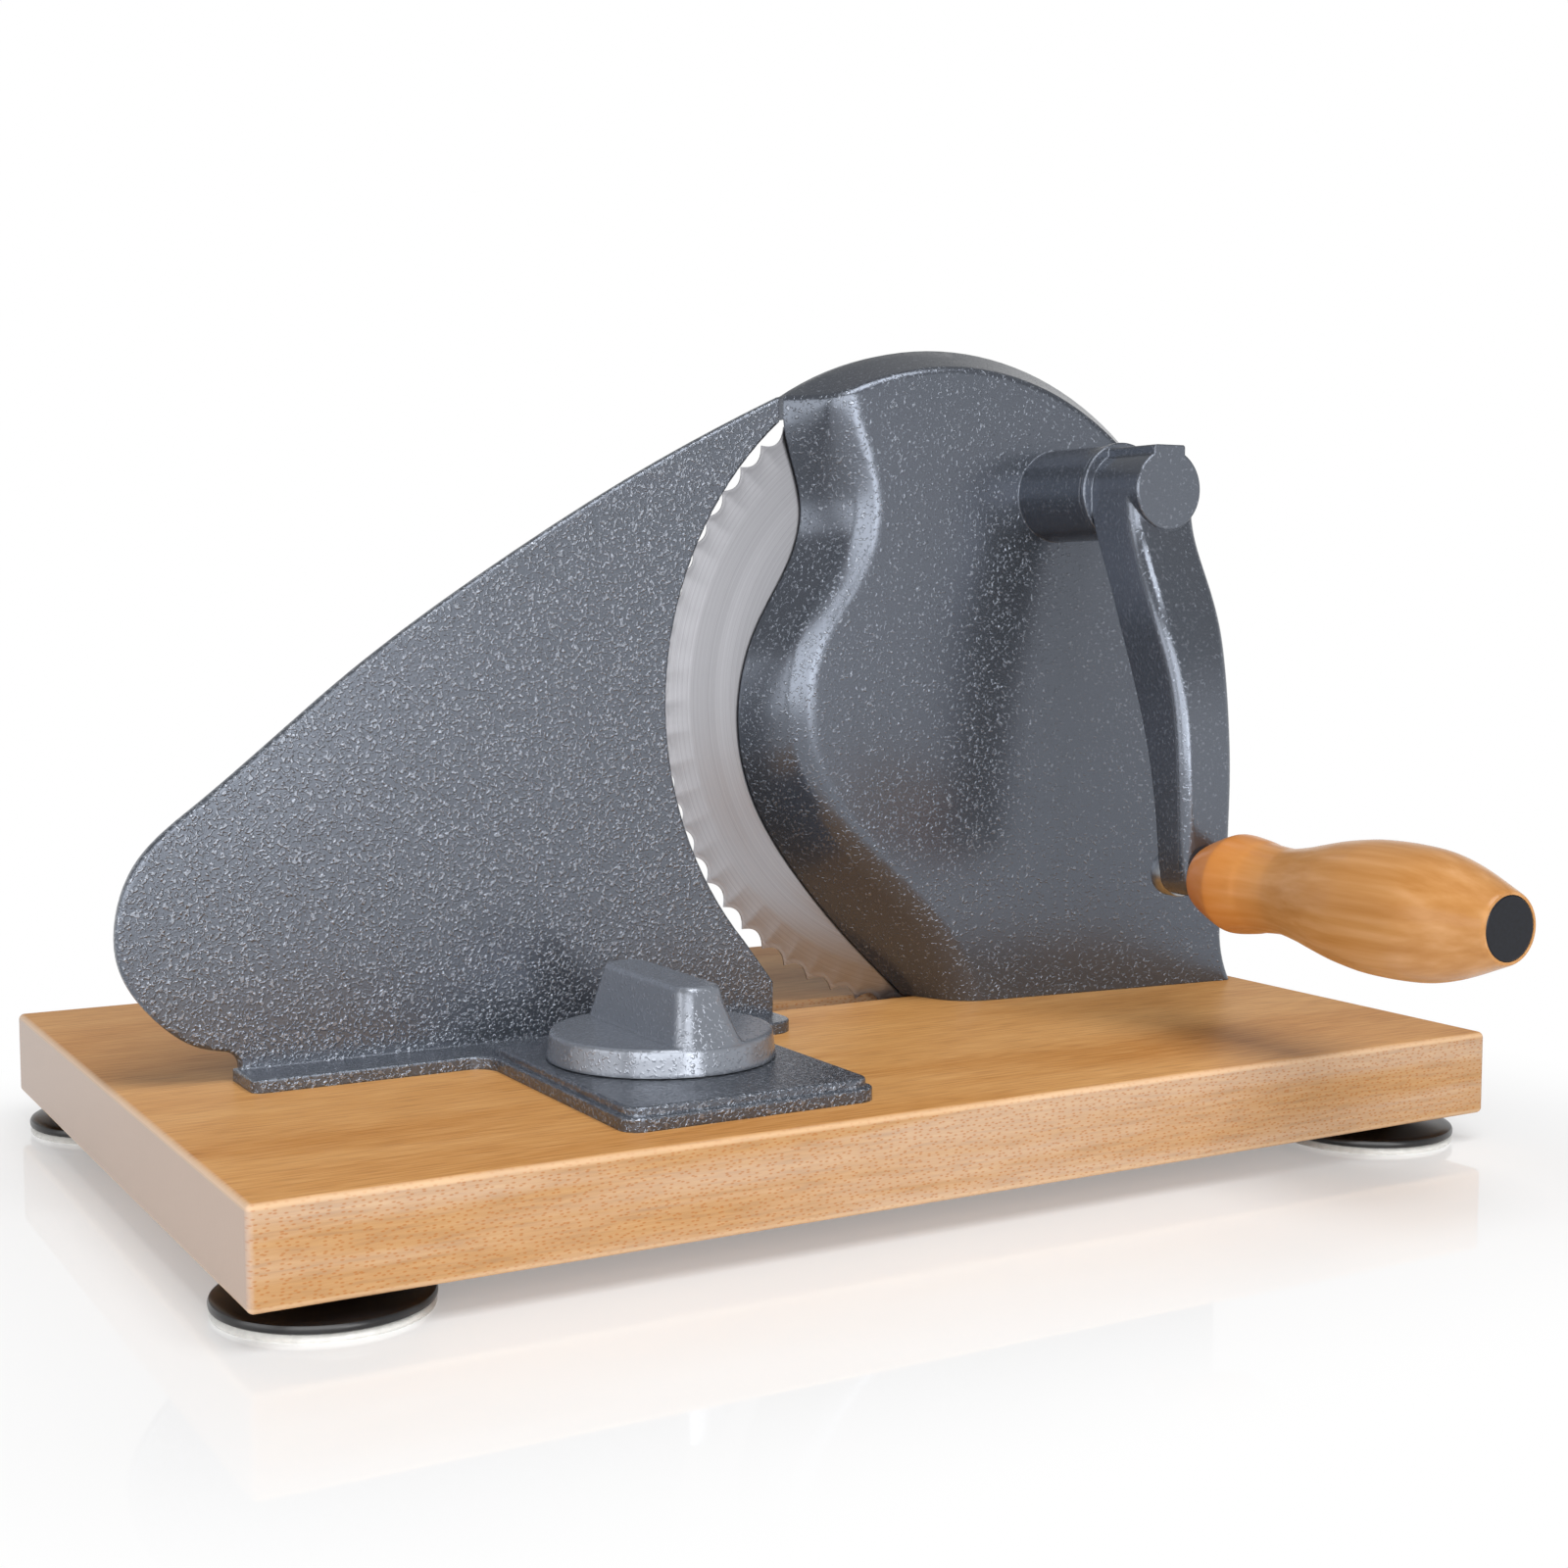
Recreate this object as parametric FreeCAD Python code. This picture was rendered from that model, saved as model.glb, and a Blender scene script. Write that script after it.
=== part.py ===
import FreeCAD, Part
import math
import os

# Hand-cranked bread slicer on a beech board.
# Lengths are millimetres. X runs along the board, Y across it towards the bread side, Z up.
# While the pieces are made, the origin is the board's near left top corner; every piece is
# moved to the slicer's base centre when it is written.

V = FreeCAD.Vector

# ---------------------------------------------------------------- driving dimensions

# Board
BOARD_LENGTH = 350.0
BOARD_DEPTH = 234.0
BOARD_THICKNESS = 23.0
BOARD_EDGE_ROUND = 1.6
SLOT_SHORTER = 29.0         # groove's end is this much nearer the axle than the blade's edge is
SLOT_NEAR = 5.0             # groove's near side to the blade's near face
SLOT_WIDTH = 11.0
SLOT_DEPTH = 9.0

# Suction feet
FOOT_INSET = 23.0
FOOT_DISC_RADIUS = 24.4
FOOT_DISC_RIM = 2.2
FOOT_NECK_RADIUS = 7.0
FOOT_GAP = 6.2              # board underside to the underside of the foot disc
FOOT_STEM_RADIUS = 4.0
FOOT_STEM_LENGTH = 12.0
CUP_RADIUS = 22.6
CUP_HEIGHT = 1.8
CUP_LIP = 1.8

# Blade
BLADE_RADIUS = 95.0         # nominal edge, just inside the points
BLADE_TO_END = 0.7          # blade's edge to the board's right end
BLADE_DIP = 3.7             # how far the blade's edge dips into the board
BLADE_Y = 131.0             # near face of the blade
BLADE_THICKNESS = 1.2
BLADE_TEETH = 65
TOOTH_REACH = 1.2           # points beyond the blade's nominal radius
SCALLOP_DEPTH = 2.7
BEVEL_WIDTH = 9.0
BEVEL_DEPTH = 0.4
HOLLOW_INSET = 21.0         # blade's edge to the inner edge of the hollow ground ring
HOLLOW_DEPTH = 0.25
RIVET_CIRCLE = 30.0
RIVET_RADIUS = 2.0
RIVET_COUNT = 6
RIVET_HEAD_WIDTH = 1.8      # head and tail beyond the shank
RIVET_HEAD_HEIGHT = 1.2
RIVET_TAIL_HEIGHT = 1.0
AXLE_RADIUS = 6.0
LOCK_HEAD_RADIUS = 14.0
LOCK_HEAD = 3.6
LOCK_SCREW_RADIUS = 3.0
LOCK_SCREW_LENGTH = 12.0
COIN_SLOT_WIDTH = 2.2
COIN_SLOT_DEPTH = 1.8

# Gears
MODULE_RATIO = 47.5         # blade radius over the gears' module
GEAR_TEETH = 45
PINION_TEETH = 20
GEAR_WIDTH = 8.0
GEAR_RING_HEIGHT = 4.0      # ring that spaces the blade off the gear
GEAR_RING_WIDTH = 5.0       # ring beyond the rivet circle
GEAR_DISH = 3.0             # depth of the turned dish in the gear's near side
GEAR_RIM = 6.0              # rim left outside the dish
GEAR_BOSS_RADIUS = 14.0
HUB_BUSH_WALL = 2.0
THRUST_WASHER = 0.9
TOOTH_THINNING = 0.12       # taken off each flank for backlash
PRESSURE_ANGLE = math.radians(20.0)

# Housing
HOUSING_BLADE_GAP = 0.7     # blade's near face to the housing behind the ramp's edge
RIM_REACH = 8.5             # rim beyond the blade's edge
RIM_DEPTH = 4.2             # how far the rim reaches past the blade's near side
RIM_CLEARANCE = 2.0         # rim's inside to the tips of the teeth
FACE_Y = 109.1              # near face at the blade's axis
FACE_SLOPE = 0.107          # the near face comes forward towards the crank side
HOUSING_WALL = 4.0
RIDGE_ROUND = 13.0
FACE_ROUND = 2.5
BOSS_RADIUS = 13.6
BOSS_Y = 78.4               # outer end of the crank boss
AXLE_BOSS_RADIUS = 11.0
GEAR_ROOM = 3.0             # pinion's tips to the inside of the housing
AXLE_SEAT = 1.5             # how far the axle is let into the near wall
CAVITY_FLOOR = 24.0         # solid foot of the housing that takes the screws
SCREW_SHARES = (0.081, 0.455, 0.818)    # housing screws beyond the blade's axis, in blade radii
SCREW_RADIUS = 2.5
SCREW_HEAD_RADIUS = 4.8
SCREW_HEAD = 3.0
SCREW_DEPTH = 16.0          # thread length inside the housing
COUNTERBORE = 6.0
SOCKET_RADIUS = 2.6
SOCKET_DEPTH = 1.6

# Crank
CRANK_SHARE = 0.2705        # crank axis beyond the blade's axis, in blade radii
SHAFT_RADIUS = 5.0
BUSH_WALL = 2.5
BUSH_FLANGE = 0.8
BUSH_FLANGE_WIDTH = 3.0
SHAFT_FLAT = 3.8            # height of the flats above the shaft axis
SHAFT_END = 1.8             # shaft beyond the pinion
CLIP_WIDTH = 0.9
CLIP_GROOVE = 1.0
CLIP_SPREAD = 2.6           # clip's outside beyond the shaft, and half its mouth
HUB_CAP = 4.0               # closed front of the hub
HUB_END_GAP = 1.0           # hub's ring to the housing's boss
SET_SCREW_Y = 64.0
SET_SCREW_RADIUS = 2.5
SET_SCREW_SOCKET = 1.4
HUB_FRONT_Y = 55.1
HUB_RADIUS = 11.3
HUB_RING_RADIUS = 14.2
HUB_RING_WIDTH = 1.8
HUB_FLAT_WIDTH = 10.8
HUB_FLAT_HEIGHT = 12.4
ARM_LENGTH = 107.3          # shaft axis to handle axis
ARM_EDGE_ROUND = 3.4
ARM_BACK_ROUND = 0.8
ARM_EYE_RADIUS = 7.6
ARM_EYE_FRONT = 36.0
ARM_EYE_BACK = 47.5
ARM_EYE_DROP = 5.7          # spindle axis to the arm's lower end

# Handle
GRIP_END_Y = -70.1
GRIP_RADIUS = 17.1          # at the belly
GRIP_CAP_RADIUS = 8.0
SPINDLE_RADIUS = 3.5
RIVET_HEAD_RADIUS = 4.4
SPINDLE_WASHER = 0.8
SPINDLE_WASHER_RADIUS = 7.0
GRIP_RECESS_RADIUS = 7.0
GRIP_RECESS = 13.0
CAP_RIM = 0.8
CAP_DEPTH = 5.0
CAP_WALL = 1.8
NUT_DEPTH = 5.0
NUT_RADIUS = 6.0

# Stop plate
PLATE_Y = 110.0             # near face of the plate
PLATE_THICKNESS = 3.6
PLATE_LEFT = 1.1            # board's left end to the plate's nose
PLATE_ARC_GAP = 8.9         # blade's nominal edge to the plate's curved edge
PLATE_TOP_SHARE = 0.9       # plate's top above the blade's axis, in blade radii
PLATE_TIP_SHARE = 0.716     # plate's top before the blade's axis, in blade radii
PLATE_HEEL_SHARE = 0.837    # lower end of the plate's curved edge before the axis, in blade radii
PLATE_HEEL = 12.0           # height of the plate's right end
FLANGE_HEIGHT = 3.3
FLANGE_NEAR_Y = 95.8
FLANGE_START_SHARE = 0.1533     # flange's left end along the plate, of the plate's length
FLANGE_END_SHARE = 0.74     # flange's right end before the blade's axis, in blade radii
FLANGE_CORNER = 3.0
TONGUE_LEFT = 33.9          # tongue's sides from the knob's axis
TONGUE_RIGHT = 33.6
TONGUE_CORNER = 6.0         # hollow corner between tongue and flange
FOOT_PLATE_NEAR = 13.8
PAD_HEIGHT = 2.2
PAD_INSET = 1.3
PAD_END = 10.0              # pad's far side to the plate
FLANGE_TIP_ROUND = 8.0
FOOT_PLATE_ROUND = 5.0
SLICE_MAX = 18.0            # travel of the stop plate
SLICE_OVERRUN = 0.6         # travel left on the thick side of the drawn position

# Knob and scroll
KNOB_FROM_END = 58.8        # flange's right end to the knob's axis
KNOB_Y = 64.3
KNOB_RADIUS = 29.0
KNOB_SKIRT = 6.8
KNOB_DRAFT = 0.8
GRIP_BAR_TOP = 6.0          # half width of the grip bar at its top
GRIP_BAR_FOOT = 8.8         # half width of the grip bar at its foot
GRIP_BAR_HEIGHT = 14.0
GRIP_BAR_CORNER = 4.5
GRIP_BAR_EDGE = 1.6         # rounding along the top of the grip bar
KNOB_EDGE = 1.0             # rounding round the top of the skirt
KNOB_WALL = 2.0             # around the hollow in the grip bar
GRIP_BAR_WALL = 11.0        # knob's edge to the hollow's end
SCROLL_TURN = math.radians(300.0)   # knob turn for the whole travel
SCROLL_THICKNESS = 4.0
SCROLL_RIM = 1.8            # knob wall around the scroll disc
SCROLL_START = 24.4         # pin's distance from the knob axis in the drawn position
GROOVE_DEPTH = 3.0
PIN_RADIUS = 1.5
PIN_HEIGHT = 2.7            # above the pad
PIN_ROOT = 4.5              # below the pad
PIVOT_RADIUS = 3.0
PIVOT_HEAD_RADIUS = 4.6
PIVOT_HEAD = 2.0
PIVOT_LEDGE = 1.6           # disc left under the pivot screw's head
NUT_FLANGE_RADIUS = 9.5
NUT_FLANGE = 1.6
NUT_BARREL_RADIUS = 4.4
NUT_LENGTH = 10.0

# Guide keys under the stop plate
KEY_WIDTH = 8.0
KEY_LENGTH = 56.0
KEY_DEPTH = 4.6
KEY_OFFSET = 24.0           # key centre line from the knob axis
KEY_START_Y = 32.0
KEY_SCREW_RADIUS = 1.5
KEY_SCREW_GRIP = 3.0        # thread in the stop plate
KEY_SCREW_HEAD_RADIUS = 2.7
KEY_SCREW_HEAD = 2.0

# Clearances
RUNNING = 0.05              # radial, shaft in bush and hub on axle
SLIDING = 0.1               # per side, keys in grooves, pin in groove
REST_GAP = 0.3              # between faces that pass each other
FASTENER_GAP = 0.2          # screw in a clearance hole

# ---------------------------------------------------------------- derived places

FLOOR_Z = -BOARD_THICKNESS - FOOT_GAP - CUP_HEIGHT
BLADE_X = BOARD_LENGTH - BLADE_TO_END - BLADE_RADIUS
BLADE_Z = BLADE_RADIUS - BLADE_DIP
RIM_RADIUS = BLADE_RADIUS + RIM_REACH
GEAR_MODULE = BLADE_RADIUS / MODULE_RATIO
CRANK_X = BLADE_X + CRANK_SHARE * BLADE_RADIUS
FLANGE_RIGHT = BLADE_X - FLANGE_END_SHARE * BLADE_RADIUS
KNOB_X = FLANGE_RIGHT - KNOB_FROM_END
FOOT_PLATE_LEFT = KNOB_X - TONGUE_LEFT
FOOT_PLATE_RIGHT = KNOB_X + TONGUE_RIGHT
PLATE_TIP_X = BLADE_X - PLATE_TIP_SHARE * BLADE_RADIUS
PLATE_TOP = BLADE_Z + PLATE_TOP_SHARE * BLADE_RADIUS
PLATE_LENGTH = PLATE_TIP_X - PLATE_LEFT
FLANGE_LEFT = PLATE_LEFT + FLANGE_START_SHARE * PLATE_LENGTH
CENTRE_DISTANCE = GEAR_MODULE * (GEAR_TEETH + PINION_TEETH) / 2.0
CRANK_Z = BLADE_Z + math.sqrt(CENTRE_DISTANCE ** 2 - (CRANK_X - BLADE_X) ** 2)
HANDLE_Z = CRANK_Z - ARM_LENGTH
BLADE_BACK = BLADE_Y + BLADE_THICKNESS
HOUSING_BACK = BLADE_Y - HOUSING_BLADE_GAP
RIM_BACK = HOUSING_BACK + RIM_DEPTH
GEAR_BACK = BLADE_Y - GEAR_RING_HEIGHT
GEAR_FRONT = GEAR_BACK - GEAR_WIDTH
GEAR_RADIUS = GEAR_MODULE * GEAR_TEETH / 2.0
PINION_RADIUS = GEAR_MODULE * PINION_TEETH / 2.0
GEAR_CASE_RADIUS = CENTRE_DISTANCE + PINION_RADIUS + GEAR_MODULE + GEAR_ROOM
PAD_TOP = FLANGE_HEIGHT + PAD_HEIGHT
KNOB_BASE = PAD_TOP + REST_GAP
KNOB_TOP = KNOB_BASE + KNOB_SKIRT
SCROLL_RATE = SLICE_MAX / SCROLL_TURN
SCROLL_RADIUS = KNOB_RADIUS - SCROLL_RIM
TRAVEL = SLICE_MAX - SLICE_OVERRUN
PIN_Y = KNOB_Y - SCROLL_START
PLATE_BACK = PLATE_Y + PLATE_THICKNESS
PIVOT_SEAT = KNOB_BASE + PIVOT_LEDGE
HUB_BUSH_RADIUS = AXLE_RADIUS + HUB_BUSH_WALL
BUSH_RADIUS = SHAFT_RADIUS + BUSH_WALL
INNER_BOSS_Y = GEAR_FRONT - THRUST_WASHER - 2 * RUNNING
AXLE_BACK = BLADE_BACK + REST_GAP
SHAFT_INNER = GEAR_BACK + SHAFT_END
HUB_END = BOSS_Y - HUB_END_GAP
GRIP_START = ARM_EYE_FRONT - SPINDLE_WASHER - 2 * RUNNING
SLOT_LOW = BLADE_Y - SLOT_NEAR
SLOT_HIGH = SLOT_LOW + SLOT_WIDTH

ORIGIN = V((BLADE_X + RIM_RADIUS) / 2.0, (GRIP_END_Y + BOARD_DEPTH) / 2.0, FLOOR_Z)


def face_y(x):
    """Y of the housing's near face at x."""
    return FACE_Y - FACE_SLOPE * (x - BLADE_X)


# ---------------------------------------------------------------- small helpers

def box(x_low, x_high, y_low, y_high, z_low, z_high):
    return Part.makeBox(x_high - x_low, y_high - y_low, z_high - z_low, V(x_low, y_low, z_low))


def rod_y(x, z, radius, y_low, y_high):
    return Part.makeCylinder(radius, y_high - y_low, V(x, y_low, z), V(0, 1, 0))


def rod_z(x, y, radius, z_low, z_high):
    return Part.makeCylinder(radius, z_high - z_low, V(x, y, z_low), V(0, 0, 1))


def hexagon_z(x, y, radius, z_low, z_high):
    turns = [math.radians(60 * i) for i in range(7)]
    corners = [V(x + radius * math.cos(a), y + radius * math.sin(a), z_low) for a in turns]
    return Part.Face(Part.makePolygon(corners)).extrude(V(0, 0, z_high - z_low))


def line(a, b):
    return Part.LineSegment(a, b).toShape()


def arc(a, b, c):
    return Part.Arc(a, b, c).toShape()


def spline(points, start=None, end=None):
    """Smooth curve through the points, with end directions where they matter."""
    curve = Part.BSplineCurve()
    if start is None:
        curve.interpolate(points)
    else:
        curve.interpolate(Points=points, InitialTangent=start, FinalTangent=end)
    return curve.toShape()


def face_of(edges):
    return Part.Face(Part.Wire(edges))


def xz(pairs, y=0.0):
    return [V(x, y, z) for x, z in pairs]


def rounded_rectangle(x_low, x_high, y_low, y_high, z, radius):
    """Face in a level plane with rounded corners."""
    k = radius * (1.0 - math.sqrt(0.5))
    edges = [
        line(V(x_low + radius, y_low, z), V(x_high - radius, y_low, z)),
        arc(V(x_high - radius, y_low, z), V(x_high - k, y_low + k, z), V(x_high, y_low + radius, z)),
        line(V(x_high, y_low + radius, z), V(x_high, y_high - radius, z)),
        arc(V(x_high, y_high - radius, z), V(x_high - k, y_high - k, z), V(x_high - radius, y_high, z)),
        line(V(x_high - radius, y_high, z), V(x_low + radius, y_high, z)),
        arc(V(x_low + radius, y_high, z), V(x_low + k, y_high - k, z), V(x_low, y_high - radius, z)),
        line(V(x_low, y_high - radius, z), V(x_low, y_low + radius, z)),
        arc(V(x_low, y_low + radius, z), V(x_low + k, y_low + k, z), V(x_low + radius, y_low, z)),
    ]
    return face_of(edges)


def revolve_z(pairs, x, y):
    """Solid turned about an upright axis from (radius, z) corners."""
    points = [V(x + r, y, z) for r, z in pairs]
    edges = [line(a, b) for a, b in zip(points, points[1:] + points[:1])]
    return face_of(edges).revolve(V(x, y, 0), V(0, 0, 1), 360.0)


def round_edges(shape, radius, chosen):
    """Round the edges for which chosen(edge) is true."""
    edges = [edge for edge in shape.Edges if chosen(edge)]
    return shape.makeFillet(radius, edges)


def edge_between(edge, axis, low, high):
    """True if the whole edge lies between two values along an axis."""
    bounds = edge.BoundBox
    ends = {"x": (bounds.XMin, bounds.XMax), "y": (bounds.YMin, bounds.YMax),
            "z": (bounds.ZMin, bounds.ZMax)}[axis]
    return ends[0] > low and ends[1] < high


# ---------------------------------------------------------------- board and feet

def screw_places():
    """Housing screws, midway between the housing's near face and its blade side."""
    along = [BLADE_X + share * BLADE_RADIUS for share in SCREW_SHARES]
    return [(x, (face_y(x) + HOUSING_BACK) / 2.0) for x in along]


def foot_places():
    return [("front_left", FOOT_INSET, FOOT_INSET),
            ("front_right", BOARD_LENGTH - FOOT_INSET, FOOT_INSET),
            ("back_left", FOOT_INSET, BOARD_DEPTH - FOOT_INSET),
            ("back_right", BOARD_LENGTH - FOOT_INSET, BOARD_DEPTH - FOOT_INSET)]


def key_centres():
    return [KNOB_X - KEY_OFFSET, KNOB_X + KEY_OFFSET]


def make_board():
    board = box(0, BOARD_LENGTH, 0, BOARD_DEPTH, -BOARD_THICKNESS, 0)
    board = board.makeFillet(BOARD_EDGE_ROUND, board.Edges)
    reach = BLADE_RADIUS - SLOT_SHORTER
    slot = rounded_rectangle(BLADE_X - reach, BLADE_X + reach, SLOT_LOW, SLOT_HIGH, -SLOT_DEPTH,
                             SLOT_WIDTH / 2.0 - 0.01)
    cuts = [slot.extrude(V(0, 0, SLOT_DEPTH + 1))]
    for x in key_centres():
        half = KEY_WIDTH / 2.0 + SLIDING
        cuts.append(box(x - half, x + half, KEY_START_Y - SLICE_OVERRUN - REST_GAP,
                        KEY_START_Y + KEY_LENGTH + TRAVEL + REST_GAP, -KEY_DEPTH - REST_GAP, 1))
    for _, x, y in foot_places():
        cuts.append(rod_z(x, y, FOOT_STEM_RADIUS + FASTENER_GAP,
                          -BOARD_THICKNESS - 1, -BOARD_THICKNESS + FOOT_STEM_LENGTH + REST_GAP))
    for x, y in screw_places():
        cuts.append(rod_z(x, y, SCREW_RADIUS + FASTENER_GAP, -BOARD_THICKNESS - 1, 1))
        cuts.append(rod_z(x, y, SCREW_HEAD_RADIUS + REST_GAP, -BOARD_THICKNESS - 1,
                          -BOARD_THICKNESS + COUNTERBORE))
    cuts.append(rod_z(KNOB_X, KNOB_Y, PIVOT_RADIUS + FASTENER_GAP, -BOARD_THICKNESS - 1, 1))
    cuts.append(rod_z(KNOB_X, KNOB_Y, NUT_FLANGE_RADIUS + REST_GAP, -BOARD_THICKNESS - 1,
                      -BOARD_THICKNESS + NUT_FLANGE))
    cuts.append(rod_z(KNOB_X, KNOB_Y, NUT_BARREL_RADIUS + FASTENER_GAP, -BOARD_THICKNESS - 1,
                      -BOARD_THICKNESS + NUT_LENGTH + REST_GAP))
    return board.cut(cuts)


def make_foot_disc(x, y):
    under = -BOARD_THICKNESS - FOOT_GAP
    top = under + FOOT_DISC_RIM
    profile = [(0, under), (FOOT_DISC_RADIUS - 0.5, under), (FOOT_DISC_RADIUS, under + 0.5),
               (FOOT_DISC_RADIUS, top - 0.9), (FOOT_DISC_RADIUS - 0.3, top - 0.3),
               (FOOT_DISC_RADIUS - 1.0, top), (FOOT_NECK_RADIUS + 5.0, top + 0.9),
               (FOOT_NECK_RADIUS + 1.0, top + 2.0), (FOOT_NECK_RADIUS, -BOARD_THICKNESS),
               (FOOT_STEM_RADIUS, -BOARD_THICKNESS),
               (FOOT_STEM_RADIUS, -BOARD_THICKNESS + FOOT_STEM_LENGTH - 1.0),
               (FOOT_STEM_RADIUS - 1.0, -BOARD_THICKNESS + FOOT_STEM_LENGTH),
               (0, -BOARD_THICKNESS + FOOT_STEM_LENGTH)]
    return revolve_z(profile, x, y)


def make_suction_cup(x, y):
    """Soft cup with a flat lip ring on the table and a shallow hollow inside it."""
    top = -BOARD_THICKNESS - FOOT_GAP
    hollow = CUP_HEIGHT - 0.8
    profile = [(0, top), (CUP_RADIUS - 1.2, top), (CUP_RADIUS, FLOOR_Z + 0.5), (CUP_RADIUS - 0.2, FLOOR_Z),
               (CUP_RADIUS - CUP_LIP, FLOOR_Z), (CUP_RADIUS - CUP_LIP - 3.0, FLOOR_Z + hollow * 0.8),
               (0, FLOOR_Z + hollow)]
    return revolve_z(profile, x, y)


def make_housing_screws():
    solids = []
    seat = -BOARD_THICKNESS + COUNTERBORE
    for x, y in screw_places():
        head = rod_z(x, y, SCREW_HEAD_RADIUS, seat - SCREW_HEAD, seat)
        recess = hexagon_z(x, y, SOCKET_RADIUS, seat - SCREW_HEAD - 1, seat - SCREW_HEAD + SOCKET_DEPTH)
        shank = rod_z(x, y, SCREW_RADIUS, seat, SCREW_DEPTH)
        solids.append(head.fuse(shank).cut(recess))
    return Part.makeCompound(solids)


# ---------------------------------------------------------------- gears and blade

def gear_outline(teeth, x, z, tooth_angle):
    """Involute spur gear as a face at y = 0, with one tooth centred on tooth_angle."""
    pitch = GEAR_MODULE * teeth / 2.0
    base = pitch * math.cos(PRESSURE_ANGLE)
    tip = pitch + GEAR_MODULE
    root = pitch - 1.25 * GEAR_MODULE

    def involute(radius):
        roll = math.sqrt(max(radius * radius - base * base, 0.0)) / base
        return roll - math.atan(roll)

    half = math.pi / (2 * teeth) - TOOTH_THINNING / pitch + involute(pitch)

    def point(radius, angle):
        return V(x + radius * math.cos(angle), 0, z + radius * math.sin(angle))

    start = max(root, base)
    middle = (start + tip) / 2.0
    edges = []
    for number in range(teeth):
        centre = tooth_angle + 2 * math.pi * number / teeth
        flank = [half - involute(r) for r in (start, middle, tip)]
        if root < base:
            edges.append(line(point(root, centre - half), point(start, centre - flank[0])))
        edges.append(arc(point(start, centre - flank[0]), point(middle, centre - flank[1]),
                         point(tip, centre - flank[2])))
        edges.append(line(point(tip, centre - flank[2]), point(tip, centre + flank[2])))
        edges.append(arc(point(tip, centre + flank[2]), point(middle, centre + flank[1]),
                         point(start, centre + flank[0])))
        if root < base:
            edges.append(line(point(start, centre + flank[0]), point(root, centre + half)))
        next_centre = centre + 2 * math.pi / teeth
        foot = half if root < base else flank[0]
        edges.append(arc(point(root if root < base else start, centre + foot),
                         point(root, (centre + next_centre) / 2.0),
                         point(root if root < base else start, next_centre - foot)))
    return face_of(edges)


def rivet_places():
    return [(BLADE_X + RIVET_CIRCLE * math.cos(2 * math.pi * i / RIVET_COUNT),
             BLADE_Z + RIVET_CIRCLE * math.sin(2 * math.pi * i / RIVET_COUNT)) for i in range(RIVET_COUNT)]


def line_of_centres():
    return math.atan2(CRANK_Z - BLADE_Z, CRANK_X - BLADE_X)


def make_blade_gear():
    """Spur gear with a raised ring that spaces the blade off and a turned dish in its near side."""
    gap_angle = line_of_centres() + math.pi / GEAR_TEETH
    gear = gear_outline(GEAR_TEETH, BLADE_X, BLADE_Z, gap_angle)
    gear.translate(V(0, GEAR_FRONT, 0))
    gear = gear.extrude(V(0, GEAR_WIDTH, 0))
    ring = rod_y(BLADE_X, BLADE_Z, RIVET_CIRCLE + GEAR_RING_WIDTH, GEAR_BACK, BLADE_Y)
    gear = gear.fuse(ring)
    cuts = [rod_y(BLADE_X, BLADE_Z, HUB_BUSH_RADIUS, GEAR_FRONT - 1, BLADE_Y + 1)]
    dish_back = GEAR_FRONT + GEAR_DISH
    dish = rod_y(BLADE_X, BLADE_Z, GEAR_RADIUS - GEAR_RIM, GEAR_FRONT - 1, dish_back)
    dish = dish.cut(rod_y(BLADE_X, BLADE_Z, GEAR_BOSS_RADIUS, GEAR_FRONT - 1, dish_back))
    cuts.append(dish)
    for x, z in rivet_places():
        cuts.append(rod_y(x, z, RIVET_RADIUS, GEAR_FRONT - 1, BLADE_Y + 1))
    return gear.cut(cuts)


def make_pinion():
    tooth_angle = line_of_centres() + math.pi
    pinion = gear_outline(PINION_TEETH, CRANK_X, CRANK_Z, tooth_angle)
    pinion.translate(V(0, GEAR_FRONT, 0))
    pinion = pinion.extrude(V(0, GEAR_WIDTH, 0))
    bore = rod_y(CRANK_X, CRANK_Z, SHAFT_RADIUS, GEAR_FRONT - 1, GEAR_BACK + 1)
    key_flat = box(CRANK_X - SHAFT_RADIUS, CRANK_X + SHAFT_RADIUS, GEAR_FRONT - 1, GEAR_BACK + 1,
                   CRANK_Z + SHAFT_FLAT, CRANK_Z + SHAFT_RADIUS + 1)
    return pinion.cut(bore.cut(key_flat))


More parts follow.
